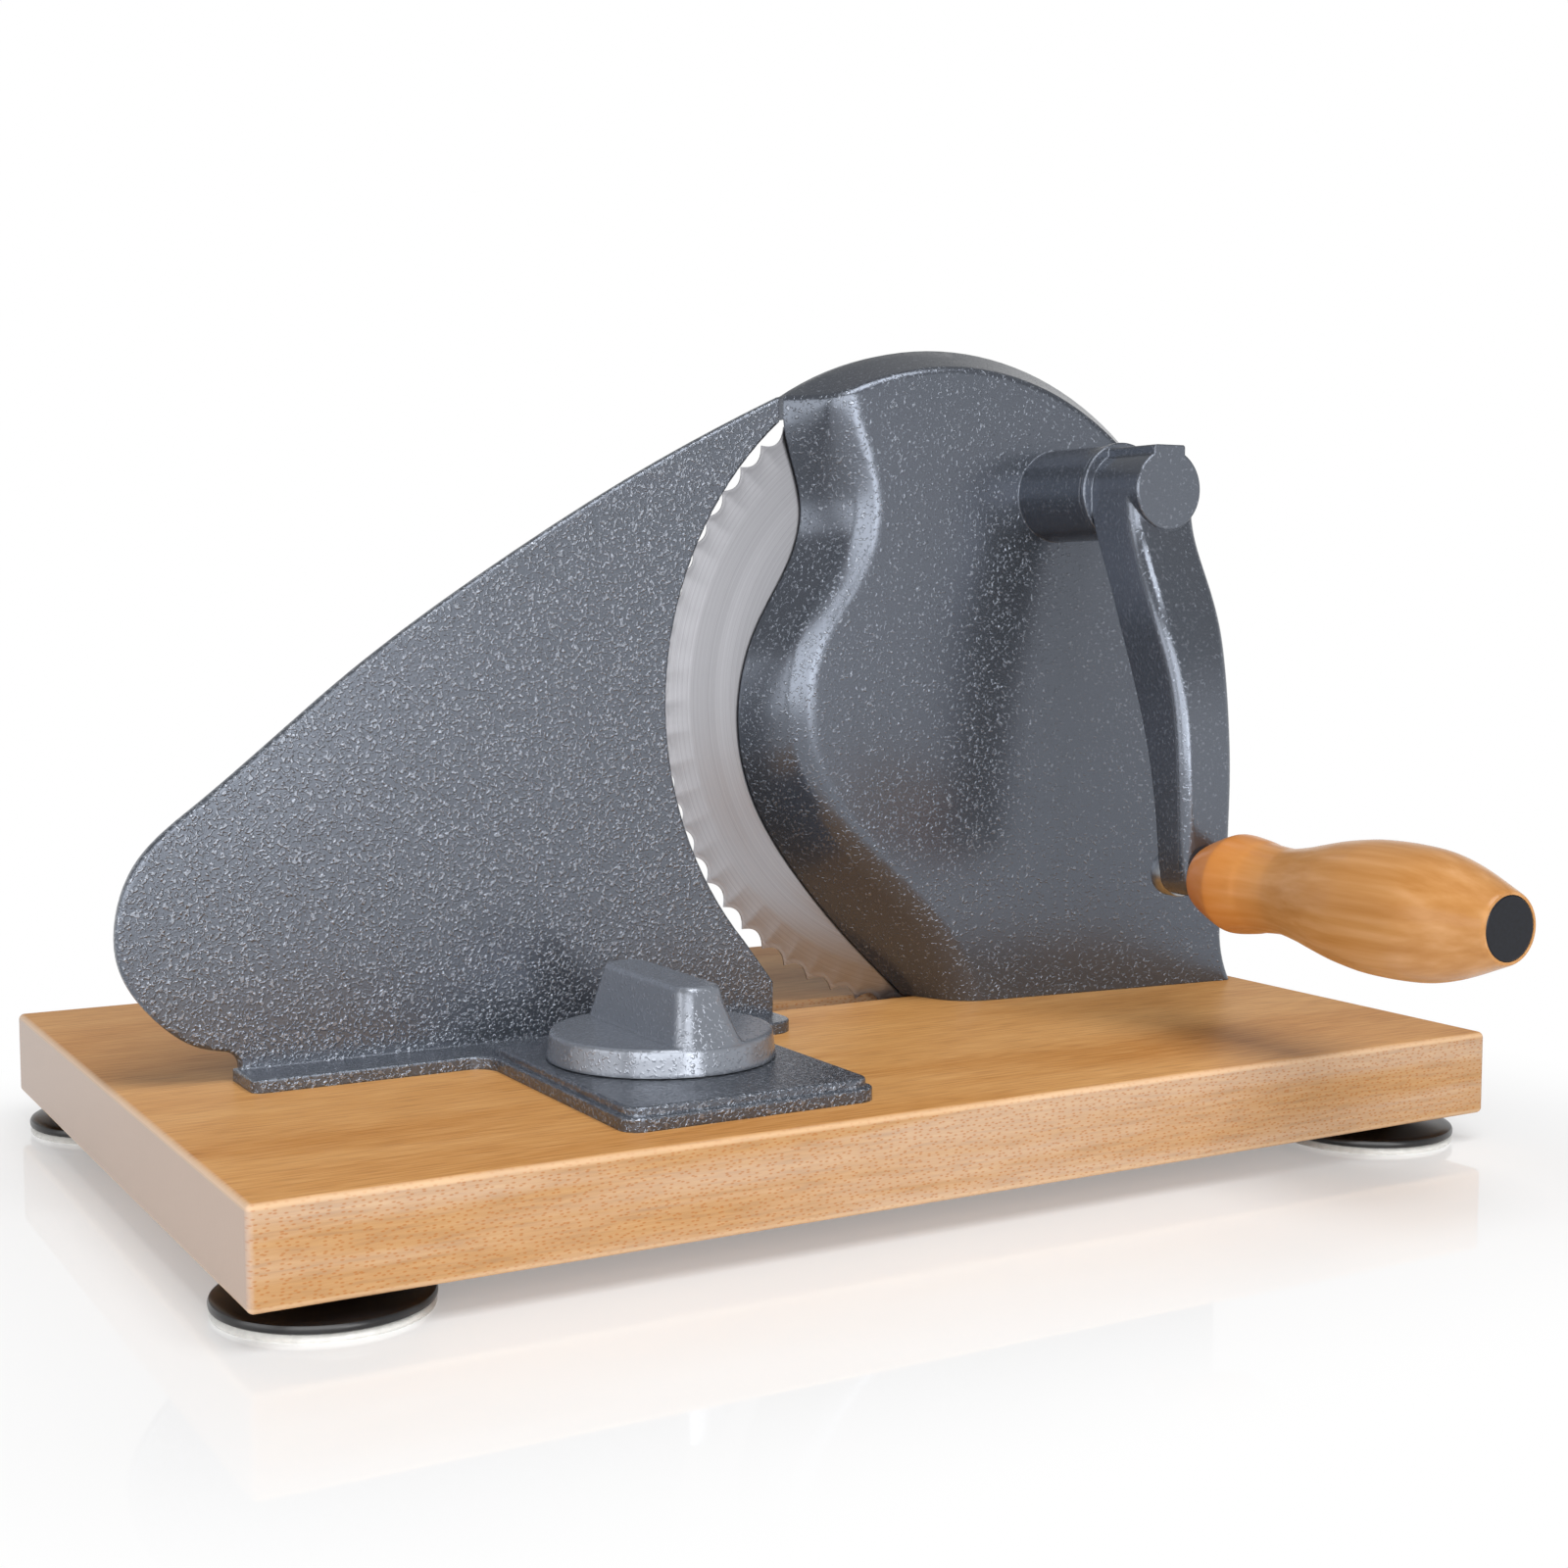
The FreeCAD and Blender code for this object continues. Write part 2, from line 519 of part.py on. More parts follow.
def make_blade():
    """Scalloped disc: outward points with hollow arcs between, bevelled and hollow ground."""
    tip = BLADE_RADIUS + TOOTH_REACH
    root = tip - SCALLOP_DEPTH
    edges = []
    step = 2 * math.pi / BLADE_TEETH

    def at(radius, angle):
        return V(BLADE_X + radius * math.cos(angle), BLADE_Y - 1, BLADE_Z + radius * math.sin(angle))

    for number in range(BLADE_TEETH):
        angle = number * step
        edges.append(arc(at(tip, angle), at(root, angle + step / 2), at(tip, angle + step)))
    prism = face_of(edges).extrude(V(0, BLADE_THICKNESS + 2, 0))
    inner = BLADE_RADIUS - BEVEL_WIDTH
    hollow = BLADE_RADIUS - HOLLOW_INSET
    profile = [(0, BLADE_Y), (hollow, BLADE_Y), (hollow + 1.0, BLADE_Y + HOLLOW_DEPTH),
               (inner, BLADE_Y + HOLLOW_DEPTH), (tip, BLADE_Y + HOLLOW_DEPTH + BEVEL_DEPTH), (tip, BLADE_BACK),
               (0, BLADE_BACK)]
    points = [V(BLADE_X + r, y, BLADE_Z) for r, y in profile]
    ring = [line(a, b) for a, b in zip(points, points[1:] + points[:1])]
    disc = face_of(ring).revolve(V(BLADE_X, 0, BLADE_Z), V(0, 1, 0), 360.0)
    blade = disc.common(prism)
    cuts = [rod_y(BLADE_X, BLADE_Z, HUB_BUSH_RADIUS, BLADE_Y - 1, BLADE_BACK + 1)]
    for x, z in rivet_places():
        cuts.append(rod_y(x, z, RIVET_RADIUS, BLADE_Y - 1, BLADE_BACK + 1))
    return blade.cut(cuts)


def make_blade_rivets():
    solids = []
    for x, z in rivet_places():
        wide = RIVET_RADIUS + RIVET_HEAD_WIDTH
        dish_back = GEAR_FRONT + GEAR_DISH
        head_back = BLADE_BACK + RIVET_HEAD_HEIGHT
        shank = rod_y(x, z, RIVET_RADIUS, dish_back, BLADE_BACK)
        head = rod_y(x, z, wide, BLADE_BACK, head_back)
        head = round_edges(head, 0.8, lambda edge: edge_between(edge, "y", head_back - 0.1, head_back + 1))
        tail = rod_y(x, z, wide, dish_back - RIVET_TAIL_HEIGHT, dish_back)
        solids.append(shank.fuse([head, tail]))
    return Part.makeCompound(solids)


def make_hub_bush():
    bush = rod_y(BLADE_X, BLADE_Z, HUB_BUSH_RADIUS, GEAR_FRONT, BLADE_BACK)
    return bush.cut(rod_y(BLADE_X, BLADE_Z, AXLE_RADIUS + RUNNING, GEAR_FRONT - 1, BLADE_BACK + 1))


def make_axle():
    front = face_y(BLADE_X) + HOUSING_WALL - AXLE_SEAT
    axle = rod_y(BLADE_X, BLADE_Z, AXLE_RADIUS, front, AXLE_BACK)
    return axle.cut(rod_y(BLADE_X, BLADE_Z, LOCK_SCREW_RADIUS, AXLE_BACK - LOCK_SCREW_LENGTH - 1.0,
                          AXLE_BACK + 1))


def make_thrust_washer():
    ring = rod_y(BLADE_X, BLADE_Z, AXLE_BOSS_RADIUS - 1.0, INNER_BOSS_Y, INNER_BOSS_Y + THRUST_WASHER)
    return ring.cut(rod_y(BLADE_X, BLADE_Z, AXLE_RADIUS, INNER_BOSS_Y - 1, GEAR_FRONT + 1))


def make_lock_screw():
    """Large coin-slot screw that holds the blade on its axle, on the bread side."""
    seat = AXLE_BACK
    face = seat + LOCK_HEAD
    head = rod_y(BLADE_X, BLADE_Z, LOCK_HEAD_RADIUS, seat, face)
    head = round_edges(head, 1.4, lambda edge: edge_between(edge, "y", face - 0.1, face + 1))
    shank = rod_y(BLADE_X, BLADE_Z, LOCK_SCREW_RADIUS, seat - LOCK_SCREW_LENGTH, seat)
    reach = LOCK_HEAD_RADIUS - 4.0
    coin = box(BLADE_X - reach, BLADE_X + reach, face - COIN_SLOT_DEPTH, face + 1,
               BLADE_Z - COIN_SLOT_WIDTH / 2, BLADE_Z + COIN_SLOT_WIDTH / 2)
    return head.fuse(shank).cut(coin)


# ---------------------------------------------------------------- housing

def beside_blade(shares):
    """Points given in blade radii: along from the blade's axis, and up from the board."""
    return [(BLADE_X + along * BLADE_RADIUS, up * BLADE_RADIUS) for along, up in shares]


def ramp_edge(shift):
    """Edge of the ramp beside the blade, from the board up to the rim, as (x, z)."""
    shares = [(-0.1474, 0), (-0.3074, 0.1526), (-0.5474, 0.4211), (-0.7011, 0.6768),
              (-0.7442, 0.9158), (-0.6758, 1.1895), (-0.5474, 1.4221), (-0.5242, 1.5474),
              (-0.5674, 1.7263), (-0.5821, 1.8842)]
    return [(x + shift, z) for x, z in beside_blade(shares)]


def ridge_edge(shift):
    """Ridge where the ramp turns into the near face, as (x, z)."""
    shares = [(-0.0616, 0), (-0.2431, 0.3263), (-0.4822, 0.5789), (-0.5957, 0.7895),
              (-0.6182, 0.9895), (-0.5352, 1.2421), (-0.4147, 1.4368), (-0.3945, 1.5526),
              (-0.4227, 1.6842), (-0.4856, 1.8768)]
    return [(x + shift, z) for x, z in beside_blade(shares)]


def back_wire(inset):
    """Outline of the housing in the blade's plane, each side moved in by inset."""
    radius = RIM_RADIUS - inset
    ramp = ramp_edge(inset * 1.15)
    top_z = BLADE_Z + math.sqrt(radius ** 2 - (BLADE_X - ramp[-1][0]) ** 2)
    ramp[-1] = (ramp[-1][0], top_z)
    ramp[0] = (ramp[0][0], inset)
    top = V(BLADE_X, 0, BLADE_Z + radius)
    right = V(BLADE_X + radius, 0, BLADE_Z)
    side = beside_blade([(1.0705, 0.7368), (1.0179, 0.4421), (0.9821, 0.1684), (0.9842, 0.0842),
                         (0.9958, 0.0)])
    side = [(x - inset, z) for x, z in side]
    wall = xz([(BLADE_X + radius, BLADE_Z)] + side[:3])
    foot = xz(side[2:4] + [(side[4][0], inset)])
    edges = [spline(xz(ramp)), arc(V(ramp[-1][0], 0, top_z), top, right),
             spline(wall, V(0, 0, -1), V(-0.05, 0, -1)), arc(*foot), line(foot[-1], xz(ramp)[0])]
    return edges


def front_wire(inset):
    """Outline of the near face, each side moved in by inset."""
    ridge = ridge_edge(inset * 1.15)
    ridge[0] = (ridge[0][0], inset)
    ridge[-1] = (ridge[-1][0], ridge[-1][1] - inset)
    top = beside_blade([(-0.34, 1.9358), (-0.0768, 1.9768), (0.2705, 1.9), (0.5968, 1.6526),
                        (0.8284, 1.2842), (0.9074, 0.9263)])
    leans = [(0.0, 1.0), (0.0, 1.0), (0.4, 1.0), (0.8, 0.7), (1.0, 0.0), (1.0, 0.0)]
    crown = [ridge[-1]] + [(x - a * inset, z - b * inset) for (x, z), (a, b) in zip(top, leans)]
    side = beside_blade([(0.9126, 0.1684), (0.9211, 0.0895), (0.9537, 0.0)])
    side = [(x - inset, z) for x, z in side]
    foot = xz(side[:2] + [(side[2][0], inset)])
    edges = [spline(xz(ridge)), spline(xz(crown)), line(xz(crown)[-1], foot[0]), arc(*foot),
             line(foot[-1], xz(ridge)[0])]
    return edges


def housing_form(inset, near_shift):
    """Ruled form from the blade-side outline to the sloping near face."""
    back = Part.Wire(back_wire(inset))
    back.translate(V(0, HOUSING_BACK, 0))
    shear = FreeCAD.Matrix()
    shear.A21 = -FACE_SLOPE
    shear.A24 = FACE_Y + near_shift + FACE_SLOPE * BLADE_X
    front = Part.Wire([edge.transformGeometry(shear) for edge in front_wire(inset)])
    return Part.makeLoft([front, back], True, True)


def on_face(edge):
    """True for an edge that lies in the near face, bottom edge left out."""
    points = [edge.valueAt(edge.FirstParameter + t * (edge.LastParameter - edge.FirstParameter))
              for t in (0.1, 0.5, 0.9)]
    return all(abs(p.y - face_y(p.x)) < 0.05 for p in points) and max(p.z for p in points) > 1.0


def make_housing():
    outer = housing_form(0.0, 0.0)
    ridge_end = ridge_edge(0.0)[0][0] + 1.0
    ridge = [edge for edge in outer.Edges if on_face(edge) and edge.BoundBox.XMax < ridge_end]
    outer = outer.makeFillet(RIDGE_ROUND, ridge)
    crown = [edge for edge in outer.Edges if on_face(edge) and edge.BoundBox.XMax > ridge_end]
    outer = outer.makeFillet(FACE_ROUND, crown)
    rim = face_of(back_wire(0.0)).extrude(V(0, RIM_DEPTH, 0))
    rim.translate(V(0, HOUSING_BACK, 0))
    boss = rod_y(CRANK_X, CRANK_Z, BOSS_RADIUS, BOSS_Y, face_y(CRANK_X) + HOUSING_WALL)
    body = outer.fuse([rim, boss])

    cavity = housing_form(HOUSING_WALL, HOUSING_WALL)
    gear_case = rod_y(BLADE_X, BLADE_Z, GEAR_CASE_RADIUS, 0, BLADE_Y)
    above_foot = box(0, BLADE_X + RIM_RADIUS, 0, BLADE_Y, CAVITY_FLOOR, BLADE_Z + RIM_RADIUS)
    cavity = cavity.common(gear_case).common(above_foot)
    pillars = [rod_y(BLADE_X, BLADE_Z, AXLE_BOSS_RADIUS, BOSS_Y, INNER_BOSS_Y),
               rod_y(CRANK_X, CRANK_Z, BOSS_RADIUS - 1.0, BOSS_Y, INNER_BOSS_Y)]
    cavity = cavity.cut(pillars)
    blade_room = rod_y(BLADE_X, BLADE_Z, BLADE_RADIUS + TOOTH_REACH + RIM_CLEARANCE, HOUSING_BACK,
                       RIM_BACK + 1)
    cuts = [cavity, blade_room]
    cuts.append(rod_y(CRANK_X, CRANK_Z, BUSH_RADIUS, BOSS_Y - 1, INNER_BOSS_Y + 1))
    seat = face_y(BLADE_X) + HOUSING_WALL - AXLE_SEAT
    cuts.append(rod_y(BLADE_X, BLADE_Z, AXLE_RADIUS, seat, INNER_BOSS_Y + 1))
    for x, y in screw_places():
        cuts.append(rod_z(x, y, SCREW_RADIUS, -1, SCREW_DEPTH + 1.0))
    return body.cut(cuts)


# ---------------------------------------------------------------- crank

def make_crank_bush():
    bush = rod_y(CRANK_X, CRANK_Z, BUSH_RADIUS, BOSS_Y, INNER_BOSS_Y)
    flange = rod_y(CRANK_X, CRANK_Z, BUSH_RADIUS + BUSH_FLANGE_WIDTH, BOSS_Y - BUSH_FLANGE, BOSS_Y)
    bore = rod_y(CRANK_X, CRANK_Z, SHAFT_RADIUS + RUNNING, BOSS_Y - 5, INNER_BOSS_Y + 1)
    return bush.fuse(flange).cut(bore)


def make_shaft():
    """Steel shaft with a flat at each end and a groove for its clip."""
    hub_end = HUB_FRONT_Y + HUB_CAP
    shaft = rod_y(CRANK_X, CRANK_Z, SHAFT_RADIUS, hub_end, SHAFT_INNER)
    side = SHAFT_RADIUS + 1
    outer_flat = box(CRANK_X - side, CRANK_X + side, hub_end - 1, BOSS_Y - 4.0,
                     CRANK_Z + SHAFT_FLAT, CRANK_Z + side)
    inner_flat = box(CRANK_X - side, CRANK_X + side, GEAR_FRONT, SHAFT_INNER + 1,
                     CRANK_Z + SHAFT_FLAT, CRANK_Z + side)
    groove = rod_y(CRANK_X, CRANK_Z, SHAFT_RADIUS + 1, GEAR_BACK, GEAR_BACK + CLIP_WIDTH)
    groove = groove.cut(rod_y(CRANK_X, CRANK_Z, SHAFT_RADIUS - CLIP_GROOVE, GEAR_BACK,
                              GEAR_BACK + CLIP_WIDTH))
    return shaft.cut([outer_flat, inner_flat, groove])


def make_shaft_clip():
    ring = rod_y(CRANK_X, CRANK_Z, SHAFT_RADIUS + CLIP_SPREAD, GEAR_BACK, GEAR_BACK + CLIP_WIDTH)
    hole = rod_y(CRANK_X, CRANK_Z, SHAFT_RADIUS - CLIP_GROOVE, GEAR_BACK - 1, GEAR_BACK + 2)
    mouth = box(CRANK_X - CLIP_SPREAD, CRANK_X + CLIP_SPREAD, GEAR_BACK - 1, GEAR_BACK + 2,
                CRANK_Z, CRANK_Z + SHAFT_RADIUS + CLIP_SPREAD + 1)
    return ring.cut([hole, mouth])


def arm_side_profile():
    """Arm seen from the side, as a face at x = 0: it leans towards the user on its way down.

    Points are shares: out from the eye's face to the hub's, and down from the shaft to the handle.
    """
    near = [(1.089, 0.0), (1.0576, 0.0839), (0.7644, 0.2144), (0.4712, 0.3262), (0.1885, 0.4753),
            (0.0471, 0.6337), (0.0, 0.8509)]
    far = [(0.0134, 0.9254), (0.1171, 0.7018), (0.3177, 0.5126), (0.6187, 0.261), (0.9064, 0.0839),
           (0.9666, 0.0)]
    low = HANDLE_Z - ARM_EYE_DROP - 1
    front = [V(0, ARM_EYE_FRONT + out * (HUB_FRONT_Y - ARM_EYE_FRONT), CRANK_Z - down * ARM_LENGTH)
             for out, down in near] + [V(0, ARM_EYE_FRONT, low)]
    back = [V(0, ARM_EYE_BACK, low)] + [V(0, ARM_EYE_BACK + out * (HUB_END - ARM_EYE_BACK),
                                          CRANK_Z - down * ARM_LENGTH) for out, down in far]
    return face_of([spline(front), line(front[-1], back[0]), spline(back), line(back[-1], front[0])])


def arm_front_profile():
    """Arm seen from the front, as a face at y = 0: wide at the hub, narrow at the eye."""
    r = ARM_EYE_RADIUS
    shares = [(1.4737, 0.0), (1.4474, 0.1305), (1.4868, 0.261), (1.4605, 0.3541), (1.3158, 0.466),
              (1.2237, 0.5778), (1.1842, 0.7456), (1.1316, 0.8574), (1.0, 1.0)]
    widths = [(wide * r, CRANK_Z - down * ARM_LENGTH) for wide, down in shares]
    right = [V(CRANK_X + w, 0, z) for w, z in widths]
    left = [V(CRANK_X - w, 0, z) for w, z in reversed(widths)]
    turns = [math.pi * i / 8 for i in range(1, 8)]
    end = [V(CRANK_X + r * math.cos(a), 0, HANDLE_Z - ARM_EYE_DROP * math.sin(a)) for a in turns]
    outline = right + end + left
    return face_of([spline(outline, V(0, 0, -1), V(0, 0, 1)), line(outline[-1], outline[0])])


def make_crank_arm():
    side = arm_side_profile()
    side.translate(V(CRANK_X - 2 * HUB_RING_RADIUS, 0, 0))
    front = arm_front_profile()
    arm = side.extrude(V(4 * HUB_RING_RADIUS, 0, 0)).common(front.extrude(V(0, BOSS_Y, 0)))
    arm = round_edges(arm, ARM_EDGE_ROUND, lambda edge: edge.BoundBox.YMin < ARM_EYE_BACK - 1
                      and edge.BoundBox.ZLength > ARM_LENGTH / 2)
    barrel = rod_y(CRANK_X, CRANK_Z, HUB_RADIUS, HUB_FRONT_Y, HUB_END)
    barrel = round_edges(barrel, 0.6, lambda edge: edge_between(edge, "y", HUB_FRONT_Y - 1,
                                                                HUB_FRONT_Y + 0.1))
    ring = rod_y(CRANK_X, CRANK_Z, HUB_RING_RADIUS, HUB_END - HUB_RING_WIDTH, HUB_END)
    ring = round_edges(ring, 0.4, lambda edge: edge.BoundBox.YLength < 0.1)
    flat = box(CRANK_X - HUB_FLAT_WIDTH / 2, CRANK_X + HUB_FLAT_WIDTH / 2, HUB_FRONT_Y, HUB_END,
               CRANK_Z, CRANK_Z + HUB_FLAT_HEIGHT)
    flat = round_edges(flat, 0.8, lambda edge: edge.BoundBox.YLength > 5
                       and edge.CenterOfMass.z > CRANK_Z + HUB_FLAT_HEIGHT - 0.1)
    body = arm.fuse([barrel, ring, flat])
    bore = rod_y(CRANK_X, CRANK_Z, SHAFT_RADIUS, HUB_FRONT_Y + HUB_CAP, BOSS_Y + 1)
    key_flat = box(CRANK_X - SHAFT_RADIUS, CRANK_X + SHAFT_RADIUS, HUB_FRONT_Y, BOSS_Y - 4.0,
                   CRANK_Z + SHAFT_FLAT, CRANK_Z + SHAFT_RADIUS + 1)
    eye = rod_y(CRANK_X, HANDLE_Z, SPINDLE_RADIUS, 0, BOSS_Y)
    head_seat = rod_y(CRANK_X, HANDLE_Z, RIVET_HEAD_RADIUS + FASTENER_GAP, ARM_EYE_BACK, BOSS_Y)
    set_hole = rod_z(CRANK_X, SET_SCREW_Y, SET_SCREW_RADIUS, CRANK_Z + SHAFT_FLAT,
                     CRANK_Z + HUB_RING_RADIUS + 1)
    flange_room = rod_y(CRANK_X, CRANK_Z, BUSH_RADIUS + BUSH_FLANGE_WIDTH + FASTENER_GAP,
                        BOSS_Y - BUSH_FLANGE - FASTENER_GAP, BOSS_Y + 1)
    return body.cut([bore.cut(key_flat), eye, head_seat, set_hole, flange_room])


def make_set_screw():
    top = CRANK_Z + HUB_FLAT_HEIGHT - 0.6
    screw = rod_z(CRANK_X, SET_SCREW_Y, SET_SCREW_RADIUS, CRANK_Z + SHAFT_FLAT, top)
    return screw.cut(hexagon_z(CRANK_X, SET_SCREW_Y, SET_SCREW_SOCKET, top - 2.4, top + 1))


# ---------------------------------------------------------------- handle

def make_spindle():
    """Steel spindle riveted in the arm's eye, with a domed head behind the arm and a thin shoulder."""
    end = GRIP_END_Y + GRIP_RECESS - NUT_DEPTH - 1.0
    rod = rod_y(CRANK_X, HANDLE_Z, SPINDLE_RADIUS, end, ARM_EYE_BACK)
    dome_radius = RIVET_HEAD_RADIUS
    dome = Part.makeSphere(dome_radius, V(CRANK_X, ARM_EYE_BACK - 0.6, HANDLE_Z))
    dome = dome.common(rod_y(CRANK_X, HANDLE_Z, dome_radius, ARM_EYE_BACK, ARM_EYE_BACK + dome_radius))
    return rod.fuse(dome)


def make_spindle_washer():
    ring = rod_y(CRANK_X, HANDLE_Z, SPINDLE_WASHER_RADIUS, ARM_EYE_FRONT - SPINDLE_WASHER, ARM_EYE_FRONT)
    return ring.cut(rod_y(CRANK_X, HANDLE_Z, SPINDLE_RADIUS, 0, ARM_EYE_FRONT + 1))


def make_grip():
    """Turned beech grip: a ball at the arm, a waist, and a belly that runs out to the end cap.

    Stations are shares of the grip's length from the arm, and of its greatest radius.
    """
    stations = [(0.0, 0.5322), (0.0485, 0.6608), (0.1274, 0.7895), (0.2006, 0.7251), (0.2861, 0.6725),
                (0.3812, 0.7544), (0.5143, 0.9298), (0.6568, 1.0), (0.7994, 0.9357), (0.904, 0.7544),
                (1.0, 0.5205)]
    outline = [V(CRANK_X, GRIP_START + along * (GRIP_END_Y - GRIP_START), HANDLE_Z + wide * GRIP_RADIUS)
               for along, wide in stations]
    edges = [spline(outline), line(outline[-1], V(CRANK_X, GRIP_END_Y, HANDLE_Z)),
             line(V(CRANK_X, GRIP_END_Y, HANDLE_Z), V(CRANK_X, GRIP_START, HANDLE_Z)),
             line(V(CRANK_X, GRIP_START, HANDLE_Z), outline[0])]
    grip = face_of(edges).revolve(V(CRANK_X, 0, HANDLE_Z), V(0, 1, 0), 360.0)
    grip = round_edges(grip, 1.2, lambda edge: edge_between(edge, "y", GRIP_START - 0.1, GRIP_START + 1))
    bore = rod_y(CRANK_X, HANDLE_Z, SPINDLE_RADIUS + RUNNING, GRIP_END_Y - 1, GRIP_START + 1)
    recess = rod_y(CRANK_X, HANDLE_Z, GRIP_RECESS_RADIUS, GRIP_END_Y + CAP_RIM, GRIP_END_Y + GRIP_RECESS)
    seat = rod_y(CRANK_X, HANDLE_Z, GRIP_CAP_RADIUS, GRIP_END_Y - 1, GRIP_END_Y + CAP_RIM)
    return grip.cut([bore, recess, seat])


def make_spindle_nut():
    inner = GRIP_END_Y + GRIP_RECESS - REST_GAP
    turns = [math.radians(60 * i) for i in range(7)]
    corners = [V(CRANK_X + NUT_RADIUS * math.cos(a), inner - NUT_DEPTH, HANDLE_Z + NUT_RADIUS * math.sin(a))
               for a in turns]
    nut = Part.Face(Part.makePolygon(corners)).extrude(V(0, NUT_DEPTH, 0))
    return nut.cut(rod_y(CRANK_X, HANDLE_Z, SPINDLE_RADIUS, inner - NUT_DEPTH - 1, inner + 1))


def make_end_cap():
    face = GRIP_END_Y
    disc = rod_y(CRANK_X, HANDLE_Z, GRIP_CAP_RADIUS, face, face + CAP_RIM)
    plug = rod_y(CRANK_X, HANDLE_Z, GRIP_RECESS_RADIUS, face + CAP_RIM, face + CAP_DEPTH)
    hollow = rod_y(CRANK_X, HANDLE_Z, GRIP_RECESS_RADIUS - CAP_WALL, face + CAP_WALL, face + CAP_DEPTH + 1)
    disc = round_edges(disc, 0.5, lambda edge: edge_between(edge, "y", face - 1, face + 0.1))
    return disc.fuse(plug).cut(hollow)


# ---------------------------------------------------------------- stop plate

def make_plate_sheet():
    """Upright sheet: long sloping crown, round nose, and an edge that follows the blade."""
    arc_radius = BLADE_RADIUS + PLATE_ARC_GAP
    tip_low = BLADE_Z + math.sqrt(arc_radius ** 2 - (BLADE_X - PLATE_TIP_X) ** 2)
    heel_x = BLADE_X - PLATE_HEEL_SHARE * BLADE_RADIUS
    heel_z = BLADE_Z - math.sqrt(arc_radius ** 2 - (BLADE_X - heel_x) ** 2)
    shares = [(1, 1), (0.7797, 0.884), (0.5405, 0.7347), (0.3164, 0.5724), (0.1058, 0.3948),
              (0.0297, 0.3224), (0, 0.2432), (0.0011, 0.1821), (0.0367, 0.1126), (0.0832, 0.0673)]
    crown = xz([(PLATE_LEFT + along * PLATE_LENGTH, up * PLATE_TOP) for along, up in shares]
               + [(FLANGE_LEFT - 2.5, FLANGE_HEIGHT + 4.9)])
    land = FLANGE_LEFT + 0.9
    edges = [spline(crown, V(-0.9, 0, -0.42), V(1, 0, -0.15)),
             arc(crown[-1], V(land - 1.0, 0, FLANGE_HEIGHT + 3.4), V(land, 0, FLANGE_HEIGHT)),
             line(V(land, 0, FLANGE_HEIGHT), V(land, 0, 0)),
             line(V(land, 0, 0), V(FLANGE_RIGHT, 0, 0)),
             line(V(FLANGE_RIGHT, 0, 0), V(FLANGE_RIGHT, 0, PLATE_HEEL)),
             line(V(FLANGE_RIGHT, 0, PLATE_HEEL), V(heel_x, 0, heel_z)),
             arc(V(heel_x, 0, heel_z), V(BLADE_X - arc_radius, 0, BLADE_Z), V(PLATE_TIP_X, 0, tip_low)),
             line(V(PLATE_TIP_X, 0, tip_low), crown[0])]
    sheet = face_of(edges)
    sheet.translate(V(0, PLATE_Y, 0))
    sheet = sheet.extrude(V(0, PLATE_THICKNESS, 0))
    return round_edges(sheet, 1.1, lambda edge: edge.BoundBox.YLength < 0.01
                       and edge.CenterOfMass.z > FLANGE_HEIGHT + 0.5 and edge.BoundBox.ZLength > 0.5)


def make_foot_plate():
    """Flat flange under the sheet with a wide tongue that reaches under the knob."""
    near, far = FOOT_PLATE_NEAR, PLATE_BACK
    left, right = FOOT_PLATE_LEFT, FOOT_PLATE_RIGHT
    flange = box(FLANGE_LEFT, FLANGE_RIGHT, FLANGE_NEAR_Y, far, 0, FLANGE_HEIGHT)
    flange = round_edges(flange, FLANGE_TIP_ROUND, lambda edge: edge_between(edge, "y", FLANGE_NEAR_Y - 1,
                         FLANGE_NEAR_Y + 1) and edge.BoundBox.ZLength > 1 and edge.CenterOfMass.x > right)
    flange = round_edges(flange, FLANGE_CORNER, lambda edge: edge_between(edge, "y", FLANGE_NEAR_Y - 1,
                         FLANGE_NEAR_Y + 1) and edge.BoundBox.ZLength > 1 and edge.CenterOfMass.x < left)
    tongue = rounded_rectangle(left, right, near, far - 1, 0, FOOT_PLATE_ROUND)
    plate = flange.fuse(tongue.extrude(V(0, 0, FLANGE_HEIGHT))).removeSplitter()

    def inner_corner(edge):
        middle = edge.CenterOfMass
        return (edge.BoundBox.ZLength > 1 and abs(middle.y - FLANGE_NEAR_Y) < 0.1
                and (abs(middle.x - left) < 0.1 or abs(middle.x - right) < 0.1))

    plate = round_edges(plate, TONGUE_CORNER, inner_corner)
    top = FLANGE_HEIGHT
    return round_edges(plate, 0.5, lambda edge: edge_between(edge, "z", top - 0.1, top + 0.1))


